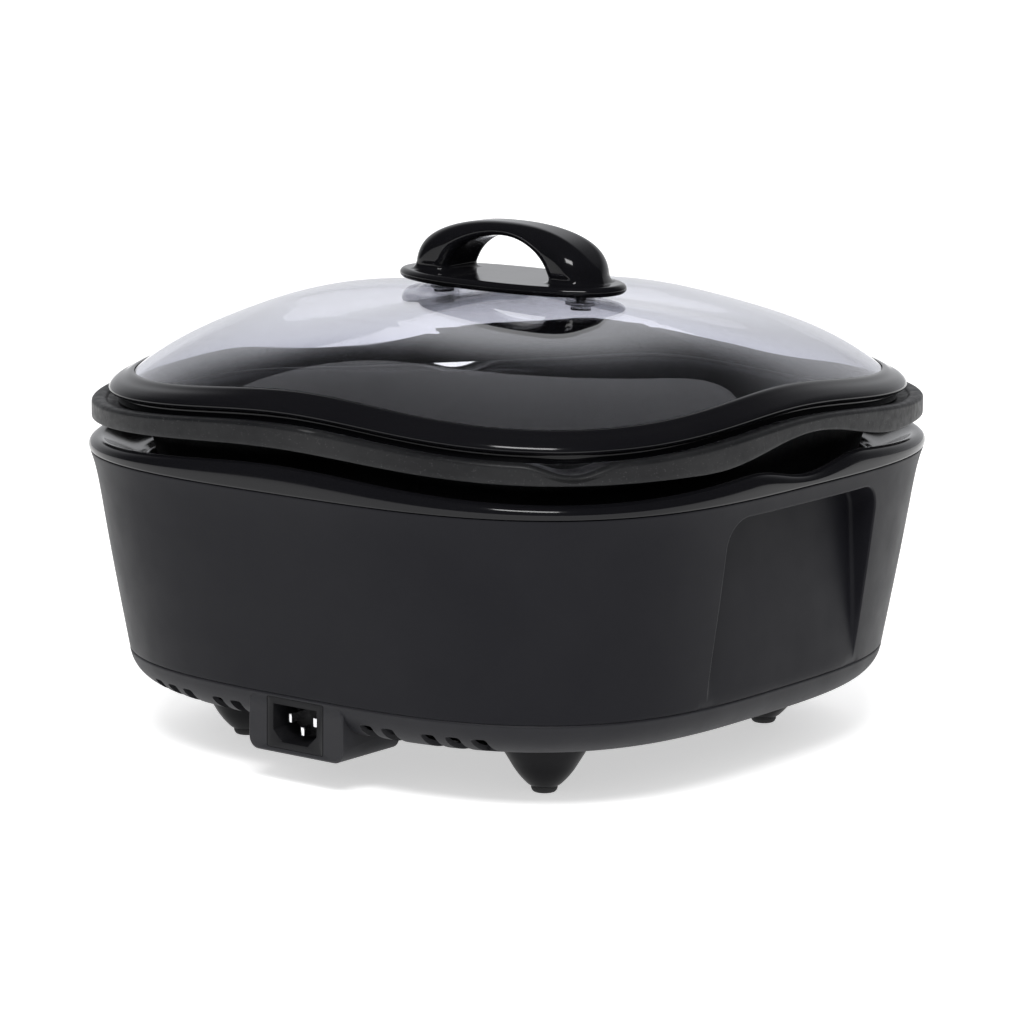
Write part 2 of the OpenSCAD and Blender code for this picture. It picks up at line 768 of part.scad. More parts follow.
module plate_screws() {
    color([0.55, 0.55, 0.57])
    at_corners(standoff_place, standoff_place) translate([0, 0, liner_floor_z - 2.2]) {
        rod(3.8, 2.2);
        rod(2, 12);
    }
}

// ---- Temperature probe ----

probe_stem_r = 3;               // radius of the probe's stem
probe_play = 0.06;              // running clearance of the stem
probe_floor_z = 42;             // underside of the probe's housing
cap_low_z = 60.2;               // underside of the cap's disc

module probe_housing() {
    color([0.85, 0.83, 0.78])
    difference() {
        union() {
            translate([0, 0, probe_floor_z]) rod(9.5, 14);
            translate([0, 0, liner_floor_z - 1.8]) rod(16, 1.8);
        }
        translate([0, 0, probe_floor_z + 2]) rod(7.5, 15);
        translate([0, 0, probe_floor_z - 1]) rod(probe_stem_r + probe_play, 5);
    }
}

module probe_cap() {
    color([0.8, 0.8, 0.82])
    difference() {
        union() {
            translate([0, 0, 56]) rod(12, pot_floor_z - 0.3 - 56);
            translate([0, 0, terminal_low_z]) rod(probe_stem_r, 20);
        }
        translate([0, 0, 55]) difference() {
            rod(10.6, cap_low_z - 55);
            rod(probe_stem_r, 10);
        }
    }
}

module probe_spring() {
    turns = 5;
    steps = 12;
    wire_r = 0.6;
    low_z = probe_floor_z + 2 + wire_r;
    rise = cap_low_z - wire_r - low_z;
    color([0.7, 0.7, 0.72])
    swept_tube(
        [for (k = [0:turns * steps]) let (a = 360 * k / steps)
            [5.3 * cos(a), 5.3 * sin(a), low_z + rise * k / (turns * steps)]],
        wire_r, 6, [0, 0, 1]
    );
}

module thermal_fuse() {
    color([0.75, 0.7, 0.55])
    translate([40, 20, 48.7]) rotate([0, 90, 0]) {
        rod(1.8, 12);
        translate([0, 0, -8]) rod(0.6, 28);
    }
}

// ---- Power electronics ----

board_place = [-62, 45];        // centre of the power board
board_size = [80, 70];
board_holes = [36, 31];         // places of its posts, from its centre
board_top_z = board_z + board_thickness;

module on_board(x, y) {
    translate([board_place[0] + x, board_place[1] + y, board_top_z]) children();
}

module power_board() {
    color([0.1, 0.3, 0.16])
    difference() {
        translate([board_place[0] - board_size[0] / 2, board_place[1] - board_size[1] / 2, board_z])
            cube([board_size[0], board_size[1], board_thickness]);
        translate([board_place[0], board_place[1], board_z - 1])
            at_corners(board_holes[0], board_holes[1]) rod(1.6, 5);
    }
}

module relay() {
    color([0.1, 0.25, 0.55])
    on_board(-18, 15) translate([-9.5, -7.8, 0]) cube([19, 15.6, 12.5]);
}

module transformer() {
    color([0.75, 0.62, 0.2])
    on_board(14, -12) {
        translate([-15, -9, 1.5]) cube([30, 18, 10]);
        translate([-10, -12, 0]) cube([20, 24, 13]);
    }
}

module capacitor() {
    color([0.12, 0.12, 0.14])
    on_board(-20, -14) translate([-8, 0, 5]) rotate([0, 90, 0]) rod(5, 16);
}

// Push-in posts that hold the power board above the base.
module board_posts() {
    color([0.85, 0.85, 0.82])
    translate([board_place[0], board_place[1], 0]) at_corners(board_holes[0], board_holes[1]) {
        translate([0, 0, floor_z + wall]) rod(3, board_z - floor_z - wall);
        translate([0, 0, board_z - 0.5]) rod(1.5, board_thickness + 0.6);
        translate([0, 0, board_top_z]) rod(2.4, 1.4);
    }
}

// ---- Control panel ----

panel_boss = [62, 21.5];        // places of the control board's screws
face_proud = 0.6;               // how far the fascia stands out of the body
face_heights = [panel_z - 34, panel_z - 12, panel_z + 12, panel_z + 34];

// The part of a shell that follows the body's front, between two offsets from its outer face.
module front_skin(inner, outer) {
    hoop(concat(
        [for (z = face_heights) body_ring(z, outer)],
        [for (k = [len(face_heights) - 1:-1:0]) body_ring(face_heights[k], inner)]
    ));
}

module at_switches() {
    for (c = [0, 1], r = [0, 1]) translate([switch_columns[c], switch_rows[r], 0]) children();
}

module front_fascia() {
    color([0.03, 0.03, 0.035])
    difference() {
        union() {
            intersection() {
                front_skin(face_proud - wall, face_proud);
                panel_window(0);
            }
            on_panel() at_corners(panel_boss[0], panel_boss[1])
                translate([0, 0, -control_board_depth]) rod(3, control_board_depth - 4);
        }
        through_panel() {
            translate(display_place) rounded_rect(display_size[0] + 0.4, display_size[1] + 0.4, 3);
            circle(4, $fn = round_fn);
            at_switches() circle(button_r + 0.3, $fn = round_fn);
            for (x = lens_places) translate([x, lens_row]) circle(1.3, $fn = round_fn);
        }
        on_panel() at_corners(panel_boss[0], panel_boss[1])
            translate([0, 0, -control_board_depth - 1]) rod(1.25, 8);
    }
}

module display_window() {
    color([0.1, 0.1, 0.12, 0.6])
    intersection() {
        front_skin(face_proud - 1.8, face_proud);
        through_panel() translate(display_place) rounded_rect(display_size[0], display_size[1], 2.8);
    }
}

module display_module() {
    color([0.25, 0.26, 0.24])
    on_panel() translate([display_place[0], display_place[1], (-control_board_depth - 6.6) / 2])
        cube([display_size[0] + 3, display_size[1] + 3, control_board_depth - 6.6], center = true);
}

module control_board() {
    color([0.1, 0.3, 0.16])
    on_panel() difference() {
        translate([0, 0, -control_board_depth - board_thickness / 2])
            cube([140, 52, board_thickness], center = true);
        at_corners(panel_boss[0], panel_boss[1])
            translate([0, 0, -control_board_depth - 3]) rod(1.35, 6);
    }
}

switch_top = -10.2;             // top of the tact switches, behind the panel's face

module tact_switches() {
    color([0.15, 0.15, 0.16])
    on_panel() at_switches() {
        translate([0, 0, (switch_top - 0.8 - control_board_depth) / 2])
            cube([6, 6, control_board_depth + switch_top - 0.8], center = true);
        translate([0, 0, switch_top - 1]) rod(1.75, 1);
    }
}

dial_shaft_r = 3;               // radius of the dial's shaft
shaft_play = 0.05;              // running clearance of the shaft

module dial_encoder() {
    color([0.5, 0.5, 0.52])
    on_panel() difference() {
        union() {
            translate([0, 0, (-8 - control_board_depth) / 2])
                cube([13, 13, control_board_depth - 8], center = true);
            translate([0, 0, -8.5]) rod(3.7, 7.5);
        }
        translate([0, 0, -12]) rod(dial_shaft_r + shaft_play, 15);
    }
}

dial_low = 0.8;                 // underside of the dial, in front of the panel's centre
dial_high = 6;                  // face of the dial

module control_dial() {
    color([0.6, 0.61, 0.63])
    on_panel() {
        difference() {
            rotate_extrude($fn = 96)
            polygon([
                [0, dial_low], [dial_r - 0.4, dial_low], [dial_r, dial_low + 0.5],
                [dial_r - 0.6, dial_high - 0.8], [dial_r - 1.4, dial_high], [dial_r - 3, dial_high],
                [dial_r - 3.6, dial_high - 0.5], [0, dial_high - 0.5]
            ]);
            // A pointer mark near the rim.
            translate([0, dial_r - 6, dial_high]) cube([1.4, 4, 2.2], center = true);
        }
        translate([0, 0, -11]) rod(dial_shaft_r, 12);
    }
}

// A push button at a column and a row of the panel.
module push_button(column, row) {
    color([0.6, 0.61, 0.63])
    on_panel() translate([switch_columns[column], switch_rows[row], 0]) {
        top = 1.3 - column_sink[column];
        translate([0, 0, -5]) rod(button_r, top + 4.6);
        translate([0, 0, -5]) rod(button_r - 0.4, top + 5);
        translate([0, 0, -6.4]) rod(button_r + 1.3, 1.4);
        translate([0, 0, -9]) rod(2, 3);
    }
}

module menu_button() { push_button(0, 1); }
module temperature_button() { push_button(1, 1); }
module timer_button() { push_button(0, 0); }
module start_button() { push_button(1, 0); }

module indicator_lenses() {
    color([0.9, 0.35, 0.1])
    on_panel() for (x = lens_places) translate([x, lens_row, -3]) rod(1.2, 3.6);
}

module panel_screws() {
    color([0.55, 0.55, 0.57])
    on_panel() at_corners(panel_boss[0], panel_boss[1])
        translate([0, 0, -control_board_depth - board_thickness - 1.6]) {
            rod(2.6, 1.6);
            rod(1.2, 9);
        }
}

// ---- Wiring ----

module mains_leads() {
    color([0.45, 0.3, 0.15])
    for (side = [-1, 1])
        lead([side * 7, 124.55, inlet_z + 1.6], [0, -18, 4],
            [-44 + side * 5, 70, board_top_z + 1.7], [0, -14, -0.5], 1.5);
}

module element_leads() {
    color([0.85, 0.85, 0.8])
    for (side = [-1, 1])
        lead([-62 + side * 8, 15, board_top_z + 1.8], [0, -16, 0.5],
            [terminals[side > 0 ? 1 : 0][0], terminals[0][1], terminal_low_z - 0.1], [0, 0, 6], 1.5);
}

module control_cable() {
    color([0.7, 0.7, 0.72])
    lead([-84, 18, board_top_z + 2.2], [0, -80, 1], [-45, -139.1, 58.2], [0, 0, 28], 1.8);
}

lid_glass();
lid_rim();
lid_handle();
handle_gaskets();
handle_washers();
handle_screws();
cooking_pot();
bezel_ring();
body_shell();
base_shell();
base_screws();
foot_front_left();
foot_front_right();
foot_rear_left();
foot_rear_right();
pad_front_left();
pad_front_right();
pad_rear_left();
pad_rear_right();
inlet_socket();
inlet_blades();
inner_liner();
heat_shield();
heating_plate();
heating_element();
plate_standoffs();
plate_screws();
probe_housing();
probe_cap();
probe_spring();
thermal_fuse();
power_board();
relay();
transformer();
capacitor();
board_posts();
front_fascia();
display_window();
display_module();
control_board();
tact_switches();
dial_encoder();
control_dial();
menu_button();
temperature_button();
timer_button();
start_button();
indicator_lenses();
panel_screws();
mains_leads();
element_leads();
control_cable();
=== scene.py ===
"""Looks of the slow cooker: smooth shells in place of the faceted CAD ones, finishes, light and camera."""

import json
import math

import bmesh
import bpy
import numpy as np
from mathutils import Matrix, Vector
from mathutils.geometry import delaunay_2d_cdt


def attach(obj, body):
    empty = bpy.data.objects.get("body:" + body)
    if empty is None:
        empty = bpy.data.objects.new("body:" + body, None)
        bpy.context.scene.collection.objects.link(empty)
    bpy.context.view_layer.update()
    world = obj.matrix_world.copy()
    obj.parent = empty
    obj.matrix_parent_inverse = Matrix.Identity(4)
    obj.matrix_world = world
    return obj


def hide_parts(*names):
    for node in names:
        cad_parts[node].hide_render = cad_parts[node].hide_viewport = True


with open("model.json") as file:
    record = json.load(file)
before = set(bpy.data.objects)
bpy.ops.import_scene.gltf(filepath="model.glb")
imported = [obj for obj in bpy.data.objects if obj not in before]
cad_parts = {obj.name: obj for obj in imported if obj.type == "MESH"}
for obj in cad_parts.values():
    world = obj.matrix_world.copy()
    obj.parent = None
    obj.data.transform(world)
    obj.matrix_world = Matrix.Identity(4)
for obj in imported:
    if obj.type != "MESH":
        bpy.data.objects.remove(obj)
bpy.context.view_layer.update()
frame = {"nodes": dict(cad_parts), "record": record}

MM = 0.001

# ---------------------------------------------------------------- dimensions, in millimetres

SQUARENESS = 3.27               # power of the outlines of the pot, the lid and the body's top
STRETCH = 3.0                   # by how much an outline's half depth is more than its half width
LOW_SQUARENESS = 3.12           # the same two at the body's lower seam
LOW_STRETCH = 1.2
TOP_SEAM = 131.0
LOW_SEAM = 41.0
BODY_HALF = 163.0
BODY_TAPER = 12.8               # how far the wall draws in from the top seam to the lower one
FLARE = 1.1                     # how much faster it does so just below the top seam
FLARE_REACH = 0.15
WALL = 2.5

WAVE_RISE = 3.2                 # the rim's wave, up and down
SPOUT_DEPTH = 4.7
SPOUTS = (math.radians(135), math.radians(315))
SPOUT_SPAN = math.radians(7)
SKIRT_FOLLOW = 0.8              # share of the rim's wave that the foot of the pot's skirt follows
FINGER_SPAN = 72.0              # half length of the hollow for fingers under the pot's rim
FINGER_LIFT = 8.8

DOME_TOP = 201.3
DOME_DROP = 32.3                # how far the glass falls from its middle to its edge
DOME_BLEND = 0.53               # share of that fall which comes late, with the power below
DOME_POWER = 6.5
DOME_ROUND = 2.4                # power of the outline at the middle of the glass
DOME_WAVE = 3.6
GLASS_HALF = 145.6
GLASS = 4.0
LID_FOOT = 156.2

BEZEL_WAVE = 2.9
SCOOP_SPAN = 44.0
SCOOP_DEPTH = 6.5
LINER_TOP = 127.0

RECESS_HALF = 57.0
RECESS_TOP = 123.5
RECESS_CORNER = 12.0
RECESS_FLOOR = (150.6, 146.0)   # how far the recess's floor stands out at its foot and at its top
RECESS_EDGE = 0.9
RECESS_FOOT = 2.2

PANEL_Z = 82.0
PANEL_TILT = math.radians(9.2)
PANEL_SIZE = (150.6, 58.6)
PANEL_CORNER = 6.0

HANDLE_FOOT = 202.8
HANDLE_DECK = 207.3             # top of the handle's foot plate
HANDLE_TOP = 231.5
ARCH_LOW = 205.0                # height of the middle of the arch's oval and of its opening's
ARCH_HALF = 50.0
ARCH_WIDTH = 12.5               # half width of the arch at its middle
ARCH_SPREAD = 5.5               # how much more it is at the arch's two ends
ARCH_ROUND = 9.0
OPENING_SIZE = (29.0, 20.5)     # half width and height of the finger opening
OPENING_ROUND = 4.5
PLATE_SIZE = (58.5, 28.0)       # half length and half width of the foot plate
PLATE_ROUND = 2.6
HANDLE_FILLET = 3.5

HOUSING_SIZE = (52, 25.5)
HOUSING_LOW = 15
HOUSING_FRONT = 151
HOUSING_BACK = 112
INLET_Z = 28.3
FLANGE_SIZE = (31.3, 22.4)
INSERT_SIZE = (27.8, 20.2)
VENT_PLACES = (36, 47, 66.5, 77.5, 88.5)
VENT_SIZE = (6.5, 20)
VENT_Z = 23.5
FOOT_PLACE = (83.5, 84.1)
PROBE_BORE = 9.7

TURN = 2 * math.pi

# ---------------------------------------------------------------- stage, with its lengths in metres

BACKDROP_SIDE = Vector((0.6, -0.8, 0.0))    # horizontal direction of the bright backdrop
BACKDROP_TOP = (0.44, 0.72)                 # sines of the heights between which it fades upwards
BACKDROP_EDGE = (0.25, 0.9)                 # cosines of the turns between which it fades sideways
BACKDROP_GLOW = 0.78
ROOM_GLOW = 0.05
ROOM_COLOUR = (0.96, 0.97, 1.0, 1)
CEILING_POWER = 2.2
CEILING_SPREAD = math.radians(120)
CEILING_SIDE = Vector((-0.15, 0.25, 1))
SOFTBOX_PLACE = (-0.9, 1.5, 1.9)
SOFTBOX_AIM = (0, 0, 0.12)
SOFTBOX_SIZE = (1.2, 0.5)
SOFTBOX_POWER = 40
FLOOR_HALF = 6.0
FLOOR_GLOW = 0.55

CAMERA_TURN = 0.6440            # angle of the camera round the object from +Y, in radians
CAMERA_LIFT = 0.1874            # angle above the horizon
CAMERA_ROLL = 0.0111
CAMERA_REACH = 2.072
CAMERA_LENS = 161.8             # focal length, in millimetres
AIM_HEIGHT = 0.0995
AIM_RIGHT = 0.0011


# ---------------------------------------------------------------- outlines

def outline_radius(angle, half_x, half_y, power):
    """Distance from the axis to a squared ellipse in the direction of an angle."""
    across = np.abs(np.cos(angle)) / half_x
    along = np.abs(np.sin(angle)) / half_y
    return (across**power + along**power) ** (-1 / power)


def wave(angle):
    """+1 in the middle of each side, -1 at each corner."""
    return np.cos(4 * angle) + 0.08 * (np.cos(8 * angle) - 1)


def bump(distance, span):
    """A smooth bump from 1 in its middle to 0 at its span."""
    return np.where(np.abs(distance) < span, (1 + np.cos(math.pi * distance / span)) / 2, 0)


def spout(angle):
    return bump(np.minimum(np.abs(angle - SPOUTS[0]), np.abs(angle - SPOUTS[1])), SPOUT_SPAN)


def on_grip_side(angle):
    return np.abs(np.cos(angle)) > np.abs(np.sin(angle))


def even_angles(count):
    return np.arange(count) * TURN / count


def ring(angle, half, z, rise=0, dip=0, lift=0, span=1, stretch=STRETCH, power=SQUARENESS):
    """One ring of points round the object, as the CAD makes it."""
    r = outline_radius(angle, half, half + stretch, power)
    y = r * np.sin(angle)
    height = z + rise * wave(angle) - dip * spout(angle)
    height = height + np.where(on_grip_side(angle), lift * bump(y, span), 0)
    return np.stack([r * np.cos(angle), y, height], 1)


def taper_share(z):
    """Share of the body's taper that is reached at a height."""
    fall = (TOP_SEAM - z) / (TOP_SEAM - LOW_SEAM)
    return fall + FLARE * fall * np.exp(-fall / FLARE_REACH)


def smooth_rows(rows, steps, closed=False):
    """More rows along a smooth curve through the given ones. A row that ends with True is a hard corner."""
    values = np.array([row[:-1] for row in rows], float)
    hard = [row[-1] for row in rows]
    count = len(rows)
    made = []
    for k in range(count if closed else count - 1):
        a, b = values[k], values[(k + 1) % count]
        before = values[k - 1] if (k > 0 or closed) else 2 * a - b
        after = values[(k + 2) % count] if (k + 2 < count or closed) else 2 * b - a
        span = max(np.hypot(*(b - a)[:2]), 1e-6)
        slope_a = (b - a) if hard[k] else catmull_slope(before, a, b, span)
        slope_b = (b - a) if hard[(k + 1) % count] else catmull_slope(a, b, after, span)
        for step in range(steps):
            t = step / steps
            made.append(
                (2 * t**3 - 3 * t**2 + 1) * a + (t**3 - 2 * t**2 + t) * slope_a
                + (3 * t**2 - 2 * t**3) * b + (t**3 - t**2) * slope_b
            )
    if not closed:
        made.append(values[-1])
    return made


def catmull_slope(before, here, after, span):
    """Slope at a point of a curve, for a stretch of the given length, without overshoot on uneven points."""
    left = max(np.hypot(*(here - before)[:2]), 1e-6)
    right = max(np.hypot(*(after - here)[:2]), 1e-6)
    slope = (here - before) / left * right + (after - here) / right * left
    return slope / (left + right) * span


# ---------------------------------------------------------------- meshes

def strip_faces(rings, count, closed):
    """Quads between neighbouring rings of points, facing outwards where the rings go up the outside."""
    faces = []
    for k in range(rings if closed else rings - 1):
        low, high = k * count, ((k + 1) % rings) * count
        for i in range(count):
            j = (i + 1) % count
            faces.append((low + i, low + j, high + j, high + i))
    return faces


def make_piece(name, points, faces, body, slot, replaces=(), sharp=32):
    """A piece from points in millimetres. It rides on a CAD body and takes its finish from a slot."""
    mesh = bpy.data.meshes.new(name)
    mesh.from_pydata((np.asarray(points) * MM).tolist(), [], faces)
    mesh.update()
    piece = bpy.data.objects.new(name, mesh)
    bpy.context.scene.collection.objects.link(piece)
    settle(piece, body, slot, replaces, sharp)
    return piece


def settle(piece, body, slot, replaces, sharp):
    mesh = piece.data
    mesh.polygons.foreach_set("use_smooth", [True] * len(mesh.polygons))
    mesh.set_sharp_from_angle(angle=math.radians(sharp))
    mesh.materials.clear()
    mesh.materials.append(FINISHES[slot])
    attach(piece, body)
    if replaces:
        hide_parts(*replaces)


def hoop(name, rings, body, slot, replaces):
    """A ring-shaped solid whose rings go up its outside, over the top and down its inside."""
    faces = strip_faces(len(rings), len(rings[0]), True)
    return make_piece(name, np.concatenate(rings), faces, body, slot, replaces)


def capped(rings):
    """Points and faces of a solid whose first and last rings are closed with a fan."""
    count = len(rings[0])
    faces = strip_faces(len(rings), count, False)
    middles = [rings[0].mean(0), rings[-1].mean(0)]
    low, high = len(rings) * count, len(rings) * count + 1
    last = (len(rings) - 1) * count
    faces += [(low, (i + 1) % count, i) for i in range(count)]
    faces += [(high, last + i, last + (i + 1) % count) for i in range(count)]
    return np.concatenate(rings + [np.array(middles)]), faces


def lathe(name, profile, centre, body, slot, replaces):
    """A turned solid from (radius, height) rows that start and end near the axis."""
    sides = 96
    angle = even_angles(sides)
    rings = [np.stack([centre[0] + r * np.cos(angle), centre[1] + r * np.sin(angle), angle * 0 + z], 1)
             for r, z in profile]
    points, faces = capped(rings)
    return make_piece(name, points, faces, body, slot, replaces)


def plain_mesh(points, faces):
    mesh = bpy.data.meshes.new("tool")
    mesh.from_pydata((np.asarray(points) * MM).tolist(), [], faces)
    tool = bpy.data.objects.new("tool", mesh)
    bpy.context.scene.collection.objects.link(tool)
    return tool


def rounded_rect(width, height, radius, steps=8):
    """Points round a rectangle with round corners, counter-clockwise."""
    points = []
    for corner, (sx, sy) in enumerate(((1, 1), (-1, 1), (-1, -1), (1, -1))):
        for k in range(steps + 1):
            angle = math.radians(90 * corner + 90 * k / steps)
            points.append((sx * (width / 2 - radius) + radius * math.cos(angle),
                           sy * (height / 2 - radius) + radius * math.sin(angle)))
    return np.array(points)


def prism_back(outline, y_front, y_back, centre_z, edge=0.0):
    """Points and faces of an outline in X and Z pushed towards -Y. An edge above 0 chamfers its front."""
    full = np.ones(2)
    rows = [(y_front - edge, full), (y_back, full)]
    if edge:
        rows.insert(0, (y_front, 1 - edge / outline.max(0)))
    rings = [np.stack([outline[:, 0] * s[0], np.full(len(outline), y), centre_z + outline[:, 1] * s[1]], 1)
             for y, s in rows]
    return capped(rings)


def cut(piece, tools, operation):
    """Joins tools to a mesh object or takes them away, and leaves plain mesh."""
    for tool in tools:
        modifier = piece.modifiers.new("cut", "BOOLEAN")
        modifier.operation = operation
        modifier.solver = "EXACT"
        modifier.object = tool
        with bpy.context.temp_override(object=piece, active_object=piece):
            bpy.ops.object.modifier_apply(modifier=modifier.name)
        bpy.data.objects.remove(tool)


def outward(piece):
    """Turns all faces of a closed mesh outwards."""
    work = bmesh.new()
    work.from_mesh(piece.data)
    bmesh.ops.recalc_face_normals(work, faces=work.faces)
    work.to_mesh(piece.data)
    work.free()


def level_surface(field, low, high, step):
    """Quads round the zero level of a field, with each point moved onto that level."""
    axes = [np.arange(low[k], high[k] + step, step) for k in range(3)]
    inside = field(np.stack(np.meshgrid(*axes, indexing="ij"), -1)) < 0
    cells = [n - 1 for n in inside.shape]
    count = np.zeros(cells, int)
    for dx in (0, 1):
        for dy in (0, 1):
            for dz in (0, 1):
                count += inside[dx:dx + cells[0], dy:dy + cells[1], dz:dz + cells[2]]
    active = (count > 0) & (count < 8)
    index = np.full(cells, -1)
    index[active] = np.arange(active.sum())
    points = (np.argwhere(active) + 0.5) * step + np.array(low)
    faces = []
    for axis in range(3):
        u, v = (axis + 1) % 3, (axis + 2) % 3
        here = np.moveaxis(inside, (axis, u, v), (0, 1, 2))
        cell = np.moveaxis(index, (axis, u, v), (0, 1, 2))
        first, second = here[:-1, 1:-1, 1:-1], here[1:, 1:-1, 1:-1]
        for leaving in (True, False):
            i, j, k = np.nonzero((first & ~second) if leaving else (~first & second))
            quad = np.stack([cell[i, j, k], cell[i, j + 1, k], cell[i, j + 1, k + 1], cell[i, j, k + 1]], 1)
            faces.append(quad if leaving else quad[:, ::-1])
    faces = np.concatenate(faces)
    rounds = 3
    for _ in range(rounds):
        points = relax(points, faces)
        for _ in range(rounds):
            points = onto_level(field, points)
    return points, faces.tolist()


def relax(points, faces):
    """Moves each point to the middle of its faces' middles."""
    middle = points[faces].mean(1)
    total = np.zeros_like(points)
    count = np.zeros(len(points))
    for k in range(4):
        np.add.at(total, faces[:, k], middle)
        np.add.at(count, faces[:, k], 1)
    return total / count[:, None]


def onto_level(field, points):
    """One step of each point along the field's slope towards its zero level."""
    reach = 0.05
    longest = 0.8
    value = field(points)
    slope = np.stack([(field(points + reach * axis) - field(points - reach * axis)) / (2 * reach)
                      for axis in np.eye(3)], 1)
    move = -value[:, None] * slope / np.maximum((slope**2).sum(1), 1e-3)[:, None]
    length = np.linalg.norm(move, axis=1)[:, None]
    return points + move * np.minimum(1, longest / np.maximum(length, 1e-9))


# ---------------------------------------------------------------- finishes

class Nodes:
    """A material's node tree with short calls for what the finishes need."""

    def __init__(self, name):
        self.material = bpy.data.materials.new(name)
        self.material.use_nodes = True
        self.tree = self.material.node_tree
        self.shader = self.tree.nodes["Principled BSDF"]
        self.place = self.add("ShaderNodeTexCoord").outputs["Object"]

    def add(self, kind, **settings):
        node = self.tree.nodes.new(kind)
        for name, value in settings.items():
            setattr(node, name, value)
        return node

    def link(self, source, target):
        self.tree.links.new(source, target)

    def noise(self, scale, detail=3.0, roughness=0.55, stretch=None):
        node = self.add("ShaderNodeTexNoise")
        node.inputs["Scale"].default_value = scale
        node.inputs["Detail"].default_value = detail
        node.inputs["Roughness"].default_value = roughness
        place = self.place
        if stretch:
            mapping = self.add("ShaderNodeMapping")
            mapping.inputs["Scale"].default_value = stretch
            self.link(place, mapping.inputs["Vector"])
            place = mapping.outputs["Vector"]
        self.link(place, node.inputs["Vector"])
        return node.outputs["Fac"]

    def cells(self, scale):
        node = self.add("ShaderNodeTexVoronoi")
        node.inputs["Scale"].default_value = scale
        self.link(self.place, node.inputs["Vector"])
        return node.outputs["Distance"]

    def remap(self, source, low, high, to_low, to_high):
        node = self.add("ShaderNodeMapRange", clamp=True)
        for name, value in (("From Min", low), ("From Max", high), ("To Min", to_low), ("To Max", to_high)):
            node.inputs[name].default_value = value
        self.link(source, node.inputs["Value"])
        return node.outputs["Result"]

    def blend(self, share, first, second):
        """A colour between two colours, each a tuple or a socket."""
        node = self.add("ShaderNodeMix", data_type="RGBA")
        self.link(share, node.inputs["Factor"])
        for value, socket in ((first, node.inputs["A"]), (second, node.inputs["B"])):
            for target in [s for s in node.inputs if s.name == socket.name and s.type == "RGBA"]:
                if isinstance(value, tuple):
                    target.default_value = (*value, 1)
                else:
                    self.link(value, target)
        return [s for s in node.outputs if s.type == "RGBA"][0]

    def bumps(self, *layers):
        """Bumps from (height socket, strength, distance in metres) layers."""
        normal = None
        for height, strength, distance in layers:
            node = self.add("ShaderNodeBump")
            node.inputs["Strength"].default_value = strength
            node.inputs["Distance"].default_value = distance
            self.link(height, node.inputs["Height"])
            if normal:
                self.link(normal, node.inputs["Normal"])
            normal = node.outputs["Normal"]
        self.link(normal, self.shader.inputs["Normal"])

    def worn_edges(self, low=0.53, high=0.6):
        """0 on flat faces and 1 on sharp outer edges."""
        return self.remap(self.add("ShaderNodeNewGeometry").outputs["Pointiness"], low, high, 0.0, 1.0)


def lighter(colour, amount):
    return tuple(min(1.0, c + amount) for c in colour)


def plastic(name, colour, roughness, grain=900, grain_depth=0.00004, mottle=0.012, wear=0.03, coat=0.0,
            spread=0.06, shine=0.5):
    """Moulded plastic, rubber or paper: fine grain, cloudy colour and gloss, and slightly paler edges."""
    n = Nodes(name)
    cloud = n.noise(14, 4)
    fine = n.noise(grain, 2)
    base = n.blend(n.remap(cloud, 0.35, 0.7, 0.0, 1.0), colour, lighter(colour, mottle))
    worn = n.blend(n.worn_edges(), base, lighter(colour, wear))
    n.link(worn, n.shader.inputs["Base Color"])
    n.link(n.remap(n.noise(60, 5), 0.3, 0.75, roughness - spread / 2, roughness + spread),
           n.shader.inputs["Roughness"])
    n.shader.inputs["Coat Weight"].default_value = coat
    n.shader.inputs["Coat Roughness"].default_value = 0.06
    n.shader.inputs["Specular IOR Level"].default_value = shine
    n.bumps((fine, 0.35, grain_depth), (n.noise(35, 2), 0.06, 0.0002))
    return n.material


def metal(name, colour, roughness, brushed=None, grain_depth=0.00003, tarnish=0.08):
    """Bare or plated metal with brushing or casting grain and faint tarnish."""
    n = Nodes(name)
    n.shader.inputs["Metallic"].default_value = 1.0
    streaks = n.noise(220, 3, stretch=brushed) if brushed else n.noise(700, 3)
    cloud = n.noise(20, 5)
    dark = tuple(c * (1 - tarnish * 2) for c in colour)
    base = n.blend(n.remap(cloud, 0.3, 0.75, 0.0, 1.0), colour, dark)
    n.link(n.blend(n.worn_edges(), base, lighter(colour, 0.08)), n.shader.inputs["Base Color"])
    n.link(n.remap(streaks, 0.3, 0.7, roughness * 0.75, roughness * 1.3), n.shader.inputs["Roughness"])
    n.bumps((streaks, 0.4, grain_depth))
    return n.material


def coated_metal(name, colour, roughness):
    """Non-stick coating on cast metal: fine orange-peel and small bright flecks."""
    n = Nodes(name)
    flecks = n.remap(n.cells(1300), 0.0, 0.22, 1.0, 0.0)
    sparse = n.remap(n.noise(520, 1), 0.52, 0.62, 0.0, 1.0)
    both = n.add("ShaderNodeMath", operation="MULTIPLY")
    n.link(flecks, both.inputs[0])
    n.link(sparse, both.inputs[1])
    cloud = n.blend(n.remap(n.noise(18, 4), 0.35, 0.7, 0.0, 1.0), colour, lighter(colour, 0.008))
    speckled = n.blend(both.outputs["Value"], cloud, lighter(colour, 0.16))
    n.link(n.blend(n.worn_edges(), speckled, lighter(colour, 0.04)), n.shader.inputs["Base Color"])
    rough = n.remap(n.noise(300, 3), 0.3, 0.7, roughness - 0.05, roughness + 0.1)
    n.link(rough, n.shader.inputs["Roughness"])
    n.shader.inputs["Specular IOR Level"].default_value = 0.2
    n.bumps((n.noise(800, 2), 0.5, 0.00008), (n.noise(120, 2), 0.1, 0.0001))
    return n.material


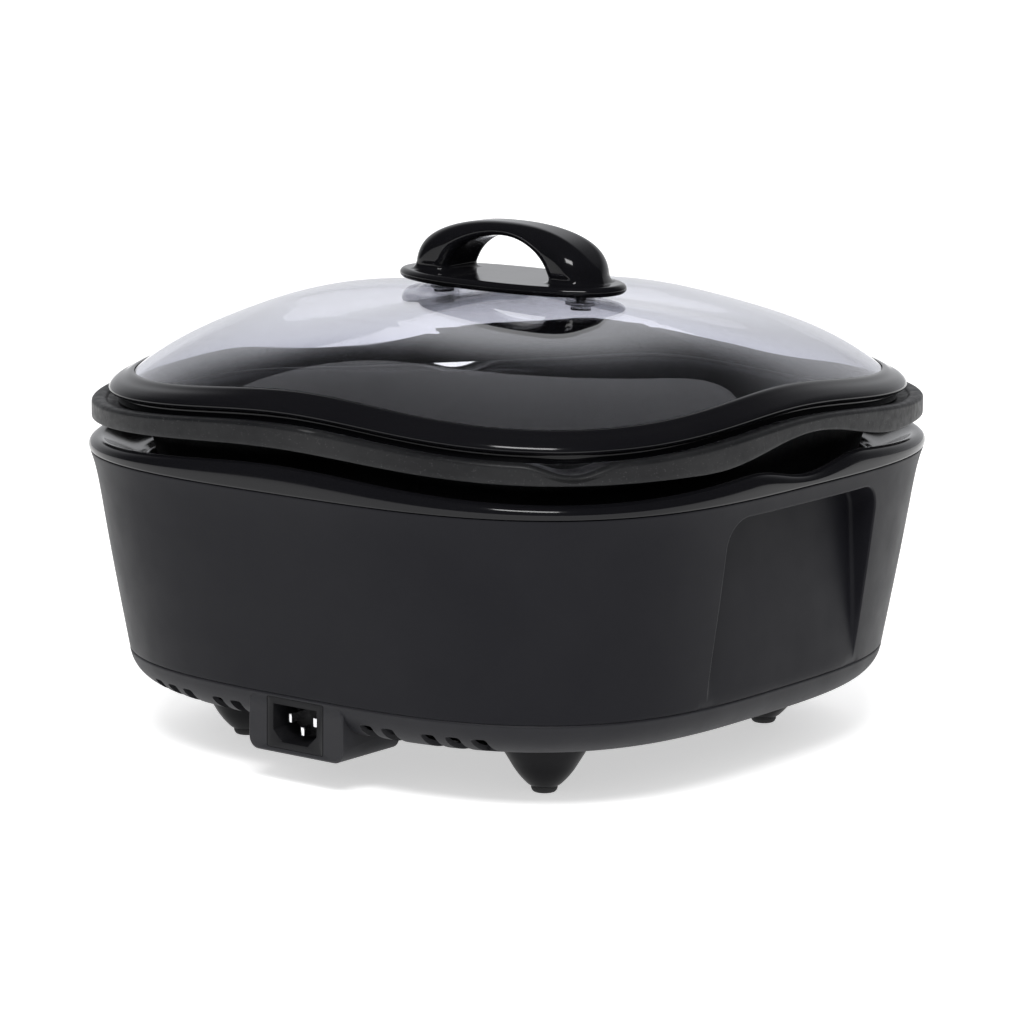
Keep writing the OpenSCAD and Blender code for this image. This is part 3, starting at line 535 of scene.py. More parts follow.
def clear(name, tint, smudge=0.05):
    """Polished glass with faint wipe marks."""
    n = Nodes(name)
    n.shader.inputs["Transmission Weight"].default_value = 1.0
    n.shader.inputs["IOR"].default_value = 1.5
    cloud = n.noise(9, 5, 0.6, (1, 2.2, 1))
    shade = n.blend(n.remap(cloud, 0.4, 0.8, 0.0, 1.0), tint, lighter(tint, 0.02))
    n.link(shade, n.shader.inputs["Base Color"])
    n.link(n.remap(cloud, 0.5, 0.85, 0.0, smudge), n.shader.inputs["Roughness"])
    n.bumps((n.noise(6, 1), 0.04, 0.0004))
    return n.material


def board(name, colour):
    """Circuit board lacquer over copper tracks."""
    n = Nodes(name)
    brick = n.add("ShaderNodeTexBrick")
    brick.inputs["Scale"].default_value = 160
    brick.inputs["Mortar Size"].default_value = 0.07
    n.link(n.place, brick.inputs["Vector"])
    tracks = n.blend(brick.outputs["Fac"], colour, lighter(colour, 0.08))
    n.link(tracks, n.shader.inputs["Base Color"])
    n.link(n.remap(n.noise(80), 0.3, 0.7, 0.25, 0.4), n.shader.inputs["Roughness"])
    n.bumps((brick.outputs["Fac"], 0.4, 0.00005))
    return n.material


FINISHES = {
    "clear_glass": clear("clear_glass", (0.86, 0.867, 0.935)),
    "gloss_black": plastic("gloss_black", (0.004, 0.004, 0.005), 0.1, grain=500, grain_depth=0.00001,
                           mottle=0.001, wear=0.002, spread=0.04, shine=0.22),
    "black_rubber": plastic("black_rubber", (0.02, 0.02, 0.021), 0.75, grain=1500),
    "bright_steel": metal("bright_steel", (0.76, 0.76, 0.78), 0.18),
    "pot_coating": coated_metal("pot_coating", (0.004, 0.0042, 0.005), 0.42),
    "body_plastic": plastic("body_plastic", (0.007, 0.007, 0.0092), 0.42, grain=1400,
                            mottle=0.002, wear=0.008, shine=0.09),
    "base_plastic": plastic("base_plastic", (0.010, 0.010, 0.0125), 0.55, grain=1100,
                            mottle=0.003, wear=0.015, shine=0.22),
    "foot_plastic": plastic("foot_plastic", (0.004, 0.004, 0.005), 0.34,
                            mottle=0.001, wear=0.004, shine=0.12),
    "plated_steel": metal("plated_steel", (0.55, 0.55, 0.58), 0.3),
    "insulator_black": plastic("insulator_black", (0.006, 0.006, 0.007), 0.45, mottle=0.002, shine=0.15),
    "sheet_steel": metal("sheet_steel", (0.6, 0.61, 0.62), 0.32, brushed=(1, 1, 14)),
    "cast_aluminium": metal("cast_aluminium", (0.72, 0.73, 0.74), 0.38, grain_depth=0.00008),
    "dark_steel": metal("dark_steel", (0.3, 0.27, 0.25), 0.45, tarnish=0.2),
    "ceramic_white": plastic("ceramic_white", (0.78, 0.76, 0.71), 0.5, mottle=0.03),
    "brass_metal": metal("brass_metal", (0.78, 0.6, 0.33), 0.3),
    "board_green": board("board_green", (0.02, 0.13, 0.05)),
    "relay_blue": plastic("relay_blue", (0.03, 0.1, 0.36), 0.35),
    "winding_yellow": plastic("winding_yellow", (0.68, 0.5, 0.1), 0.4, mottle=0.05),
    "nylon_white": plastic("nylon_white", (0.78, 0.78, 0.74), 0.45, mottle=0.02),
    "display_lens": plastic("display_lens", (0.006, 0.007, 0.009), 0.07, grain=300, grain_depth=0.000004,
                            mottle=0.002, wear=0.01, coat=0.6),
    "display_grey": plastic("display_grey", (0.18, 0.2, 0.18), 0.4),
    "dial_silver": metal("dial_silver", (0.5, 0.51, 0.53), 0.33, brushed=(1, 1, 12)),
    "button_silver": metal("button_silver", (0.5, 0.51, 0.53), 0.36),
    "indicator_amber": plastic("indicator_amber", (0.75, 0.25, 0.04), 0.2, mottle=0.03, coat=0.5),
    "lead_brown": plastic("lead_brown", (0.2, 0.09, 0.035), 0.5),
    "lead_white": plastic("lead_white", (0.72, 0.71, 0.66), 0.55, mottle=0.03),
    "lead_grey": plastic("lead_grey", (0.4, 0.4, 0.42), 0.5),
}


# ---------------------------------------------------------------- lid

LID_ANGLES = even_angles(384)


def dome_ring(share, depth):
    """One ring of the glass at a share of its half width, and a depth below its upper face."""
    z = DOME_TOP - DOME_DROP * ((1 - DOME_BLEND) * share**2 + DOME_BLEND * share**DOME_POWER)
    power = DOME_ROUND + (SQUARENESS - DOME_ROUND) * share**2
    return ring(LID_ANGLES, GLASS_HALF * share, z - depth, DOME_WAVE * share**1.5, power=power)


def make_glass():
    shares = np.concatenate([np.linspace(0.02, 0.6, 20), np.linspace(0.62, 1.03, 36)])
    rings = [dome_ring(s, GLASS) for s in shares] + [dome_ring(s, 0) for s in shares[::-1]]
    points, faces = capped(rings)
    make_piece("glass_dome", points, faces, "lid", "clear_glass", ["lid_glass"])


def make_lid_rim():
    """The black band round the glass. Each row is a half width, a height, its wave and whether it is hard."""
    w = WAVE_RISE
    d = DOME_WAVE
    rows = [
        (152.4, 159.6, w, False), (155.0, 160.4, w, False), (155.6, 161.5, w, False),
        (155.2, 163.0, w, False), (153.2, 165.3, w, False), (149.8, 167.5, d, False),
        (146.8, 169.2, d, False), (145.7, 169.35, d, True), (146.0, 168.95, d, True),
        (150.5, 164.6, d, True), (150.5, 159.9, d, True), (147.3, 161.2, w, True),
        (147.3, 158.6, w, True), (148.2, LID_FOOT, w, True), (152.0, LID_FOOT, w, True),
        (152.4, 158.6, w, True),
    ]
    rings = [ring(LID_ANGLES, *row) for row in smooth_rows(rows, 4, closed=True)]
    hoop("lid_band", rings, "lid", "gloss_black", ["lid_rim"])


def handle_field(p):
    """Below 0 inside the handle: an oval foot plate and a rounded arch with a finger opening."""
    x, y, z = p[..., 0], np.abs(p[..., 1]), p[..., 2]
    lift = np.maximum(z - ARCH_LOW, 0)
    outer = squared_distance(x, lift, ARCH_HALF, HANDLE_TOP - ARCH_LOW, 2.3)
    outer = np.maximum(outer, HANDLE_FOOT + 0.7 - z)
    opening = -squared_distance(x, z - ARCH_LOW, *OPENING_SIZE, 2.0)
    width = ARCH_WIDTH + ARCH_SPREAD * (x / ARCH_HALF) ** 2
    side = y - width * np.sqrt(np.maximum(1 - (np.abs(x) / (ARCH_HALF + 0.5)) ** 8, 0.02))
    arch = soft_max(soft_max(outer, side, ARCH_ROUND), opening, OPENING_ROUND)
    plate_edge = squared_distance(x, y, *PLATE_SIZE, 2.25)
    plate_face = np.abs(z - (HANDLE_FOOT + HANDLE_DECK) / 2) - (HANDLE_DECK - HANDLE_FOOT) / 2
    plate = soft_max(plate_edge, plate_face, PLATE_ROUND)
    return -soft_max(-arch, -plate, HANDLE_FILLET)


def squared_distance(x, z, half_x, half_z, power):
    """About the distance to a squared ellipse, below 0 inside."""
    u, v = np.abs(x) / half_x, np.abs(z) / half_z
    total = np.maximum(u**power + v**power, 1e-9)
    size = total ** (1 / power)
    slope_x = u ** (power - 1) / half_x
    slope_z = v ** (power - 1) / half_z
    slope = np.sqrt(slope_x**2 + slope_z**2) * size ** (1 - power)
    return (size - 1) / np.maximum(slope, 1e-3)


def soft_max(a, b, radius):
    """The larger of two distances, rounded where they meet."""
    u, v = np.maximum(radius + a, 0), np.maximum(radius + b, 0)
    return np.minimum(-radius, np.maximum(a, b)) + np.hypot(u, v)


def make_handle():
    corner = np.array((61, 31))
    points, faces = level_surface(handle_field, (*-corner, 200), (*corner, 234), 0.8)
    make_piece("arched_handle", points, faces, "lid", "gloss_black", ["lid_handle"], sharp=60)


# ---------------------------------------------------------------- pot

def fine_angles(count):
    """Even angles, with closer ones at the two spouts."""
    extra = [s + np.linspace(-1.15, 1.15, 57) * SPOUT_SPAN for s in SPOUTS]
    even = even_angles(count)
    far = [np.abs(even - s) > 1.17 * SPOUT_SPAN for s in SPOUTS]
    return np.sort(np.concatenate([even[far[0] & far[1]], *extra]))


POT_ANGLES = fine_angles(360)


def pot_ring(half, z, rise, dip, skirt):
    """One ring of the pot. On the rim's skirt it clears the fingers on the grip sides."""
    points = ring(POT_ANGLES, half, z, rise, dip)
    if skirt > 0:
        grip = FINGER_LIFT * bump(points[:, 1], FINGER_SPAN)
        follow = SKIRT_FOLLOW * WAVE_RISE * (wave(POT_ANGLES) + 1)
        low = z + np.where(on_grip_side(POT_ANGLES), grip, follow)
        points[:, 2] = points[:, 2] * (1 - skirt) + low * skirt
    return points


def make_pot():
    """The casting, up its outside and down its inside. Each row is a half width, a height, its wave, the
    depth of its spouts, its share of the skirt's own height and whether it is hard."""
    w = WAVE_RISE
    d = SPOUT_DEPTH
    rows = [
        (117, 64, 0, 0, 0, False), (123, 65, 0, 0, 0, False), (128, 69, 0, 0, 0, False),
        (131, 77, 0, 0, 0, False), (141, 146, 0, 0, 0, False), (142.6, 150, 0, 2, 0, False),
        (145.6, 152.6, w, 2.5, 0, False), (157.5, 153.2, w, 3, 0, False), (159.8, 152, w, 3, 0, False),
        (160.2, 145.9, 0, 0, 1, True), (160.6, 145.45, 0, 0, 1, False), (161.4, 145.3, 0, 0, 1, False),
        (162.1, 145.6, 0, 0, 1, False), (162.3, 146.3, 0, 0, 1, True), (162.3, 154.6, w, d, 0, True),
        (162.15, 156.2, w, d, 0, False), (161.5, 157.05, w, d, 0, False), (160.4, 157.45, w, d, 0, False),
        (158.6, 157.5, w, d, 0, False), (157.4, 157.35, w, d, 0, False), (156.7, 156.9, w, d, 0, False),
        (156.2, 156.2, w, 4, 0, False), (155.2, 155.85, w, 4, 0, False), (144.6, 155.7, w, 4, 0, False),
        (142.6, 155.4, w, 3.6, 0, False), (141.3, 154.3, w, 3, 0, False), (139.6, 151, 0, 1, 0, False),
        (138, 142, 0, 0, 0, False), (128.2, 78, 0, 0, 0, False), (125, 71.5, 0, 0, 0, False),
        (119.5, 68, 0, 0, 0, False), (115, 67.5, 0, 0, 0, False),
    ]
    rings = [pot_ring(*row) for row in smooth_rows(rows, 4)]
    points, faces = capped(rings)
    make_piece("cast_pot", points, faces, "pot", "pot_coating", ["cooking_pot"])


# ---------------------------------------------------------------- casing

CASE_ANGLES = even_angles(384)
FIRST_CORNER = math.radians(45)
LAYOUT_SCALE = 2.8              # millimetres along the wall's flat layout for each degree of its outline


def bezel_ring(half, z, share):
    """One ring of the bezel, with a share of its wave and of its finger scoops."""
    return ring(CASE_ANGLES, half, z, BEZEL_WAVE * share, 0, -SCOOP_DEPTH * share, SCOOP_SPAN)


def make_bezel():
    t = TOP_SEAM
    rows = [
        (158.6, t, 0, True), (162.0, t, 0, False), (163.1, t + 0.6, 0, False), (163.42, t + 2.2, 0.15, False),
        (163.3, t + 5.2, 0.6, False), (162.4, t + 7.6, 0.9, False), (160.6, t + 8.9, 1, False),
        (158.6, t + 8.9, 1, False), (156.8, t + 7.6, 0.9, False), (151.5, t + 3, 0.45, False),
        (145.5, t - 1.2, 0.1, False), (142.6, t - 2.4, 0, False), (141.6, LINER_TOP, 0, True),
        (144.0, LINER_TOP, 0, True), (146.5, t - 2.6, 0.1, False), (152.5, t + 1.2, 0.45, False),
        (157.0, t + 4.8, 0.85, True), (157.2, t, 0, True), (157.2, t - 4.6, 0, True),
        (158.6, t - 4.6, 0, True),
    ]
    rings = [bezel_ring(*row) for row in smooth_rows(rows, 4, closed=True)]
    hoop("gloss_ring", rings, "root", "gloss_black", ["bezel_ring"])


def body_size(z):
    """Half width, half depth and squareness of the body's outer face at a height."""
    share = taper_share(z)
    half = BODY_HALF - BODY_TAPER * share
    stretch = STRETCH - (STRETCH - LOW_STRETCH) * share
    return half, half + stretch, SQUARENESS - (SQUARENESS - LOW_SQUARENESS) * share


def side_distance(y, half_x, half_y, power):
    """How far a squared ellipse stands out along X at a distance along Y."""
    return half_x * (1 - np.minimum(np.abs(y) / half_y, 1) ** power) ** (1 / power)


def recess_floor(y, z):
    """How far the recess's floor stands out along X. It leans inwards towards its top."""
    slope = (RECESS_FLOOR[1] - RECESS_FLOOR[0]) / (RECESS_TOP - LOW_SEAM)
    half = RECESS_FLOOR[0] + slope * (z - LOW_SEAM)
    return side_distance(y, half, half + LOW_STRETCH, SQUARENESS)


def window_depth(y, z):
    """How far a point on a grip side is inside the recess's window; below 0 outside."""
    across = np.abs(y) - (RECESS_HALF - RECESS_CORNER)
    above = z - (RECESS_TOP - RECESS_CORNER)
    beyond = np.hypot(np.maximum(across, 0), np.maximum(above, 0))
    return RECESS_CORNER - np.minimum(np.maximum(across, above), 0) - beyond


def window_loop(inset):
    """Points (y, z) along the recess's window from one foot of it to the other, moved inwards."""
    radius = max(RECESS_CORNER - inset, 0.5)
    wide, high = RECESS_HALF - RECESS_CORNER, RECESS_TOP - RECESS_CORNER
    leg = [(wide + radius, z) for z in np.linspace(LOW_SEAM, high, 26)[:-1]]
    turns = np.radians(np.linspace(0, 90, 15))
    arc = [(wide + radius * math.cos(a), high + radius * math.sin(a)) for a in turns]
    top = [(y, high + radius) for y in np.linspace(wide, 0, 16)[1:]]
    half = np.array(leg + arc + top)
    return np.concatenate([half, half[-2::-1] * (-1, 1)])


def recess_rows():
    """Rows over the recess's edge, wall and foot: place in the layout, inset, part and share of that part."""
    rows = [(place, place, "face", 0) for place in (-4.0, -2.2, -1.2)]
    for k in range(5):
        turn = math.radians(90 * k / 4)
        rows.append((-0.9 + 0.3 * k, -RECESS_EDGE * (1 - math.sin(turn)), "edge", 1 - math.cos(turn)))
    rows.append((1.0, 0.15, "wall", 0.5))
    for k in range(6):
        turn = math.radians(90 * k / 5)
        rows.append((1.6 + 0.4 * k, 0.3 + RECESS_FOOT * (1 - math.cos(turn)), "foot", 1 - math.sin(turn)))
    rows.append((4.6, 4.0, "floor", 0))
    rows.append((6.0, 5.5, "floor", 0))
    return rows


def recess_points(loop, part, share, side):
    """Points of one row: their depth below the outer face follows the part of the recess they are on."""
    y, z = loop[:, 0], loop[:, 1]
    outer = side_distance(y, *body_size(z))
    depth = np.maximum(outer - recess_floor(y, z), 0)
    small = np.minimum(1, depth / (RECESS_EDGE + RECESS_FOOT + 0.8))
    if part == "face":
        sink = 0 * depth
    elif part == "edge":
        sink = RECESS_EDGE * small * share
    elif part == "wall":
        sink = RECESS_EDGE * small + (depth - (RECESS_EDGE + RECESS_FOOT) * small) * share
    elif part == "foot":
        sink = depth - RECESS_FOOT * small * share
    else:
        sink = depth
    return np.stack([side * (outer - sink), y, z], 1)


def panel_loop():
    """Points of the control panel's window on the body's outer face."""
    points = []
    for u, v in rounded_rect(*PANEL_SIZE, PANEL_CORNER):
        w = 0.0
        for _ in range(8):
            z = PANEL_Z + v * math.cos(PANEL_TILT) - w * math.sin(PANEL_TILT)
            half_x, half_y, power = body_size(z)
            y = -half_y * (1 - (abs(u) / half_x) ** power) ** (1 / power)
            middle = -body_size(PANEL_Z)[1]
            w = (middle - v * math.sin(PANEL_TILT) - y) / math.cos(PANEL_TILT)
        points.append((u, y, z))
    return np.array(points)


def flat_place(points):
    """Where a point of the wall lies in the flat layout: along the outline from the first corner, and up."""
    angle = np.arctan2(points[:, 1], points[:, 0])
    angle = np.mod(angle - FIRST_CORNER, TURN)
    return np.stack([np.degrees(angle) * LAYOUT_SCALE, points[:, 2]], 1)


def wall_heights():
    return np.concatenate([[LOW_SEAM, LOW_SEAM + 0.15, LOW_SEAM + 0.45, LOW_SEAM + 0.9],
                           np.linspace(LOW_SEAM + 2, TOP_SEAM - 2, 36),
                           [TOP_SEAM - 1.0, TOP_SEAM - 0.5, TOP_SEAM - 0.15, TOP_SEAM]])


def seam_rounding(z):
    """How far the wall's outer face draws in close to its two seams."""
    low = np.maximum(LOW_SEAM + 0.8 - z, 0) / 0.8
    high = np.maximum(z - TOP_SEAM + 0.6, 0) / 0.6
    return 0.6 * (1 - np.sqrt(1 - low**2)) + 0.5 * (1 - np.sqrt(1 - np.minimum(high, 1) ** 2))


def wall_grid():
    """Even points over the wall, apart from those close to the recess edges and inside the panel's window."""
    angle, z = np.meshgrid(FIRST_CORNER + np.linspace(0, TURN, 361), wall_heights(), indexing="ij")
    angle, z = angle.ravel(), z.ravel()
    half_x, half_y, power = body_size(z)
    r = outline_radius(angle, half_x, half_y, power)
    points = np.stack([r * np.cos(angle), r * np.sin(angle), z], 1)
    flat = np.stack([np.degrees(angle - FIRST_CORNER) * LAYOUT_SCALE, z], 1)
    grip = on_grip_side(angle)
    inset = np.where(grip, window_depth(points[:, 1], z), -np.inf)
    margin = 1.5
    front = (np.sin(angle) < -0.7) & (np.abs(points[:, 0]) < PANEL_SIZE[0] / 2 + margin)
    front &= np.abs(z - PANEL_Z) < PANEL_SIZE[1] / 2 + margin
    inside = inset > 7.0
    keep = ((inset < -5.2) | inside) & ~front
    side = np.sign(points[:, 0])
    points[:, 0] = np.where(inside, side * np.minimum(np.abs(points[:, 0]), recess_floor(points[:, 1], z)),
                            points[:, 0])
    return points[keep], flat[keep]


def wall_layout():
    """Points of the wall, their places in the flat layout, and the edges that the faces must keep."""
    points, flat = wall_grid()
    points, flat, edges = list(points), list(flat), []

    def add_loop(loop_points, loop_flat, closed):
        first = len(points)
        points.extend(loop_points)
        flat.extend(loop_flat)
        count = len(loop_points)
        edges.extend((first + k, first + (k + 1) % count) for k in range(count if closed else count - 1))

    for side in (1, -1):
        for place, inset, part, share in recess_rows():
            loop = window_loop(inset)[::side]
            layout = window_loop(place)[::side]
            outer = side_distance(layout[:, 0], *body_size(layout[:, 1]))
            where = np.stack([side * outer, layout[:, 0], layout[:, 1]], 1)
            add_loop(recess_points(loop, part, share, side), flat_place(where), False)
    panel = panel_loop()
    window = flat_place(panel)
    add_loop(panel, window, True)

    points = np.array(points)
    half_x = body_size(points[:, 2])[0]
    shrink = 1 - seam_rounding(points[:, 2]) / half_x
    points[:, :2] *= shrink[:, None]
    return points, flat, edges, window


def wall_faces(flat, edges, window):
    """Triangles over the flat layout, apart from those inside the panel's window."""
    made = delaunay_2d_cdt([Vector(p) for p in flat], edges, [], 0, 1e-4, True)
    originals = [ids[0] for ids in made[3]]
    low, high = window.min(0), window.max(0)
    faces = []
    for face in made[2]:
        middle = np.mean([flat[originals[i]] for i in face], axis=0)
        u, v = np.abs(middle - (low + high) / 2) - ((high - low) / 2 - PANEL_CORNER)
        if math.hypot(max(u, 0), max(v, 0)) + min(max(u, v), 0) > PANEL_CORNER:
            faces.append([originals[i] for i in face])
    return faces


def make_body():
    """The satin side wall: one outer face with both grip recesses and the panel's window, then thickened."""
    points, flat, edges, window = wall_layout()
    wall = plain_mesh(points, wall_faces(flat, edges, window))
    work = bmesh.new()
    work.from_mesh(wall.data)
    bmesh.ops.remove_doubles(work, verts=work.verts, dist=1e-6)
    bmesh.ops.recalc_face_normals(work, faces=work.faces)
    if sum(f.normal.dot(f.calc_center_median() * Vector((1, 1, 0))) for f in work.faces) < 0:
        bmesh.ops.reverse_faces(work, faces=work.faces)
    work.to_mesh(wall.data)
    work.free()
    wall.name = "side_wall"
    thick = wall.modifiers.new("thick", "SOLIDIFY")
    thick.thickness = WALL * MM
    thick.offset = -1
    with bpy.context.temp_override(object=wall, active_object=wall):
        bpy.ops.object.modifier_apply(modifier=thick.name)
    settle(wall, "root", "body_plastic", ["body_shell"], 50)


def make_base():
    """The lower cover with its housing for the inlet, its vent slots and its rounded edge."""
    rows = [
        (60, 25, False), (124, 25, True), (131, 25.15, False), (135.5, 25.75, False), (139.5, 27.0, False),
        (142.5, 28.5, False), (145.2, 30.6, False), (147.4, 33.2, False), (149.0, 36.2, False),
        (149.9, 39.2, False), (150.1, 40.3, False), (149.7, 41, True), (147.7, 41, True),
        (147.2, 37.8, False), (145.6, 34.4, False), (142.6, 31.2, False), (138, 28.9, False),
        (131, 27.6, False), (124, 27.5, True), (60, 27.5, False),
    ]
    rings = [ring(CASE_ANGLES, half, z, stretch=LOW_STRETCH, power=LOW_SQUARENESS)
             for half, z in smooth_rows(rows, 3)]
    base = plain_mesh(*capped(rings))
    wide, tall = HOUSING_SIZE
    front, back = HOUSING_FRONT, HOUSING_BACK
    housing = plain_mesh(*prism_back(rounded_rect(wide, tall, 5), front, back, HOUSING_LOW + tall / 2, 0.8))
    outward(base)
    outward(housing)
    cut(base, [housing], "UNION")
    inside = rounded_rect(wide - 2 * WALL, 30, 1)
    hollow = plain_mesh(*prism_back(inside, front - WALL, back + WALL, HOUSING_LOW + WALL + 15))
    insert = plain_mesh(*prism_back(rounded_rect(*FLANGE_SIZE, 1.2), front + 1, front - 2, INLET_Z))
    throat = plain_mesh(*prism_back(rounded_rect(*INSERT_SIZE, 1), front + 1, front - 11, INLET_Z))
    slots = []
    for x in (*(-x for x in VENT_PLACES[::-1]), *VENT_PLACES):
        points, faces = prism_back(rounded_rect(*VENT_SIZE, 1.2), 170, 126, VENT_Z)
        slots.append(plain_mesh(points + np.array([x, 0, 0]), faces))
    tools = [hollow, insert, throat, *slots]
    for tool in tools:
        outward(tool)
    cut(base, tools, "DIFFERENCE")
    base.name = "lower_cover"
    settle(base, "root", "base_plastic", ["base_shell"], 35)


def make_liner():
    """The sheet-metal well under the pot, with the hole for the temperature probe."""
    rows = [
        (40, 50.8, True), (116, 50.8, False), (124.9, 52.5, False), (130.2, 58.2, False), (133.7, 68, False),
        (142.0, 126.2, True), (143.4, 126.2, True), (143.4, 127, True), (140.8, 127, True),
        (132.5, 68.3, False), (129.1, 58.9, False), (124.2, 53.7, False), (116, 52, False), (40, 52, True),
    ]
    rings = [ring(CASE_ANGLES, half, z) for half, z in smooth_rows(rows, 4)]
    points, faces = capped(rings)
    liner = plain_mesh(points, faces)
    bore = rounded_rect(2 * PROBE_BORE, 2 * PROBE_BORE, PROBE_BORE - 0.01, 12)
    ends = [np.stack([bore[:, 0], bore[:, 1], np.full(len(bore), z)], 1) for z in (48.0, 55.0)]
    tool = plain_mesh(*capped(ends))
    outward(liner)
    outward(tool)
    cut(liner, [tool], "DIFFERENCE")
    liner.name = "sheet_well"
    settle(liner, "root", "sheet_steel", ["inner_liner"], 40)


def make_feet():
    """Four cones with rubber tips."""
    foot = smooth_rows([
        (5.9, 2.9, True), (6.5, 3.2, False), (9.2, 5.6, False), (12.2, 9.2, False), (15.4, 14.3, False),
        (18.6, 19.8, False), (20.8, 25, True),
    ], 4)
    pad = smooth_rows([
        (4, 0, False), (4.8, 0.3, False), (5.4, 1.0, False), (5.75, 2, False), (5.75, 2.9, True),
    ], 4)
    for end, along in (("front", -1), ("rear", 1)):
        for hand, across in (("left", -1), ("right", 1)):
            centre = (across * FOOT_PLACE[0], along * FOOT_PLACE[1])
            lathe(f"cone_foot_{end}_{hand}", foot, centre, "root", "foot_plastic", [f"foot_{end}_{hand}"])
            lathe(f"foot_tip_{end}_{hand}", pad, centre, "root", "black_rubber", [f"pad_{end}_{hand}"])


def dress_cad_nodes():
    """Gives every CAD node that still shows its finish, small edge rounding and smooth shading."""
    slots = {row["node"]: row["material_slot"] for row in frame["record"]["subparts"]}
    for name, node in frame["nodes"].items():
        node.data.materials.clear()
        node.data.materials.append(FINISHES[slots[name]])
        if node.hide_render:
            continue
        node.data.polygons.foreach_set("use_smooth", [True] * len(node.data.polygons))
        weld = node.modifiers.new("weld", "WELD")
        weld.merge_threshold = 1e-5
        edge = node.modifiers.new("edge", "BEVEL")
        edge.width = 0.0002
        edge.segments = 2
        edge.limit_method = "ANGLE"
        edge.angle_limit = math.radians(40)
        split = node.modifiers.new("split", "EDGE_SPLIT")
        split.split_angle = math.radians(35)


# ---------------------------------------------------------------- stage

def add_light(name, place, aim, size, power):
    light = bpy.data.lights.new(name, "AREA")
    light.shape = "RECTANGLE"
    light.size, light.size_y = size
    light.energy = power
    lamp = bpy.data.objects.new(name, light)
    bpy.context.scene.collection.objects.link(lamp)
    lamp.location = place
    lamp.rotation_mode = "QUATERNION"
    lamp.rotation_quaternion = (Vector(aim) - Vector(place)).to_track_quat("-Z", "Y")


def fade(tree, value, span, low, high):
    """A smooth change between two levels while a value goes over a span."""
    step = tree.nodes.new("ShaderNodeMapRange")
    step.interpolation_type = "SMOOTHSTEP"
    step.inputs["From Min"].default_value = span[0]
    step.inputs["From Max"].default_value = span[1]
    step.inputs["To Min"].default_value = low
    step.inputs["To Max"].default_value = high
    tree.links.new(value, step.inputs["Value"])
    return step.outputs["Result"]


def make_floor():
    """A pale floor that glows a little, as a lit table does, so that the shadow on it stays soft."""
    half = FLOOR_HALF
    corners = np.array([(-half, -half, 0), (half, -half, 0), (half, half, 0), (-half, half, 0)])
    floor = plain_mesh(corners / MM, [(0, 1, 2, 3)])
    floor.name = "floor"
    paper = plastic("floor_paper", (0.86, 0.86, 0.86), 0.9, grain=200, mottle=0.004, wear=0, shine=0.1)
    shader = paper.node_tree.nodes["Principled BSDF"]
    shader.inputs["Emission Color"].default_value = (1, 1, 1, 1)
    shader.inputs["Emission Strength"].default_value = FLOOR_GLOW
    floor.data.materials.append(paper)


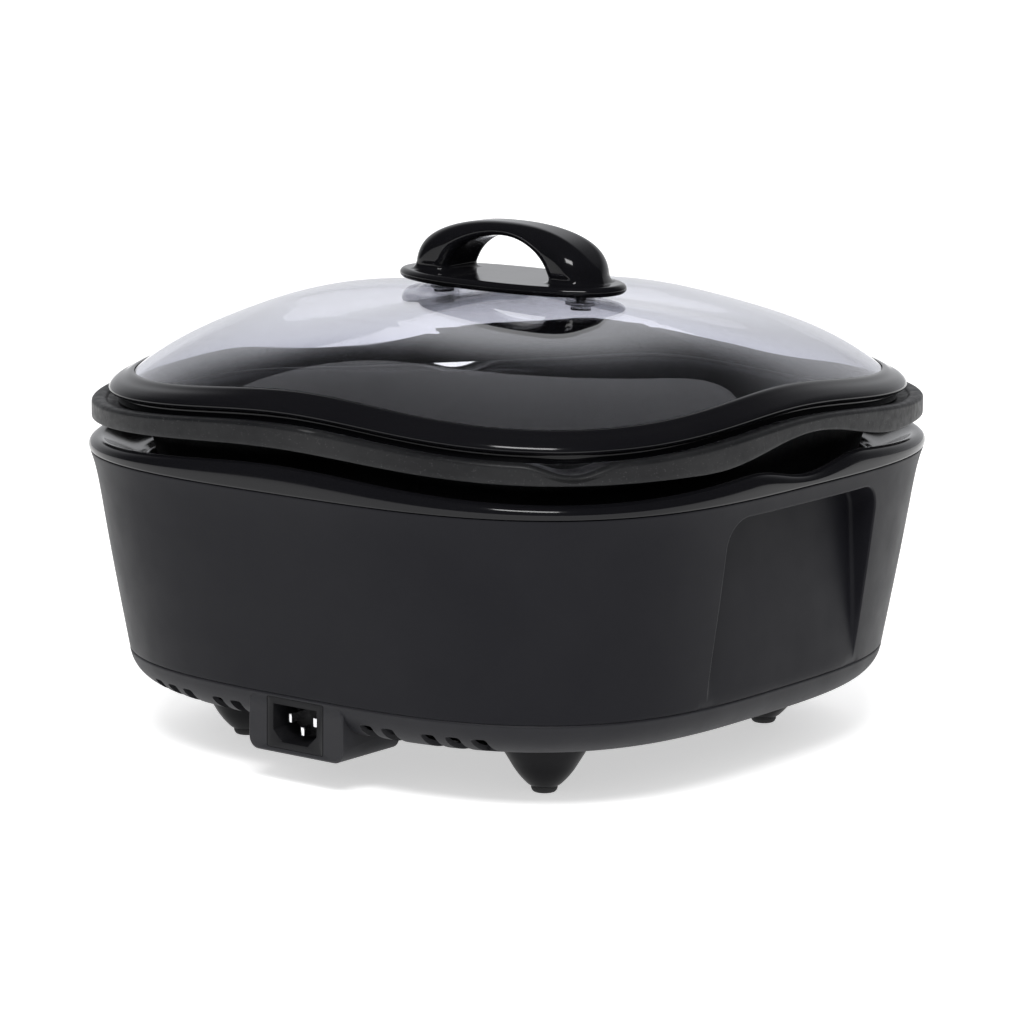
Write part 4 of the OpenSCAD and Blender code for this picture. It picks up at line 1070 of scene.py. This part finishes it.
def make_room():
    """A dim room with a bright backdrop on one side. The camera itself sees plain white."""
    world = bpy.data.worlds.new("studio")
    bpy.context.scene.world = world
    world.use_nodes = True
    tree = world.node_tree
    sky = tree.nodes["Background"]
    place = tree.nodes.new("ShaderNodeTexCoord")
    height = tree.nodes.new("ShaderNodeSeparateXYZ")
    behind = tree.nodes.new("ShaderNodeVectorMath")
    behind.operation = "DOT_PRODUCT"
    behind.inputs[1].default_value = BACKDROP_SIDE
    tree.links.new(place.outputs["Generated"], height.inputs["Vector"])
    tree.links.new(place.outputs["Generated"], behind.inputs[0])
    rise = fade(tree, height.outputs["Z"], BACKDROP_TOP, BACKDROP_GLOW, 0.0)
    turn = fade(tree, behind.outputs["Value"], BACKDROP_EDGE, 0.0, 1.0)
    glow = tree.nodes.new("ShaderNodeMath")
    glow.operation = "MULTIPLY_ADD"
    tree.links.new(rise, glow.inputs[0])
    tree.links.new(turn, glow.inputs[1])
    glow.inputs[2].default_value = ROOM_GLOW
    sky.inputs["Color"].default_value = ROOM_COLOUR
    tree.links.new(glow.outputs[0], sky.inputs["Strength"])
    seen = tree.nodes.new("ShaderNodeBackground")
    seen.inputs["Color"].default_value = (1, 1, 1, 1)
    mix = tree.nodes.new("ShaderNodeMixShader")
    path = tree.nodes.new("ShaderNodeLightPath")
    tree.links.new(path.outputs["Is Camera Ray"], mix.inputs["Fac"])
    tree.links.new(sky.outputs["Background"], mix.inputs[1])
    tree.links.new(seen.outputs["Background"], mix.inputs[2])
    tree.links.new(mix.outputs["Shader"], tree.nodes["World Output"].inputs["Surface"])


def make_lights():
    """A wide ceiling glow that leaves no reflection, and one softbox that does."""
    ceiling = bpy.data.lights.new("ceiling", "SUN")
    ceiling.energy = CEILING_POWER
    ceiling.angle = CEILING_SPREAD
    lamp = bpy.data.objects.new("ceiling", ceiling)
    lamp.rotation_euler = CEILING_SIDE.to_track_quat("Z", "Y").to_euler()
    lamp.visible_glossy = False
    bpy.context.scene.collection.objects.link(lamp)
    add_light("front_softbox", SOFTBOX_PLACE, SOFTBOX_AIM, SOFTBOX_SIZE, SOFTBOX_POWER)


def make_stage():
    bpy.context.scene.view_settings.view_transform = "Standard"
    make_floor()
    make_room()
    make_lights()


def make_camera():
    """A long lens behind the object's left side, a little above it."""
    level = math.cos(CAMERA_LIFT)
    back = Vector((-math.sin(CAMERA_TURN) * level, math.cos(CAMERA_TURN) * level, math.sin(CAMERA_LIFT)))
    right = (-back).cross(Vector((0, 0, 1))).normalized()
    up = right.cross(-back)
    tilted_right = right * math.cos(CAMERA_ROLL) + up * math.sin(CAMERA_ROLL)
    tilted_up = up * math.cos(CAMERA_ROLL) - right * math.sin(CAMERA_ROLL)
    aim = right * AIM_RIGHT + Vector((0, 0, AIM_HEIGHT))
    data = bpy.data.cameras.new("camera")
    data.sensor_width = 36
    data.lens = CAMERA_LENS
    camera = bpy.data.objects.new("camera", data)
    bpy.context.scene.collection.objects.link(camera)
    turned = Matrix((tilted_right, tilted_up, back)).transposed().to_4x4()
    camera.matrix_world = Matrix.Translation(aim + back * CAMERA_REACH) @ turned
    bpy.context.scene.camera = camera


make_camera()
make_glass()
make_lid_rim()
make_handle()
make_pot()
make_bezel()
make_body()
make_base()
make_liner()
make_feet()
dress_cad_nodes()
make_stage()
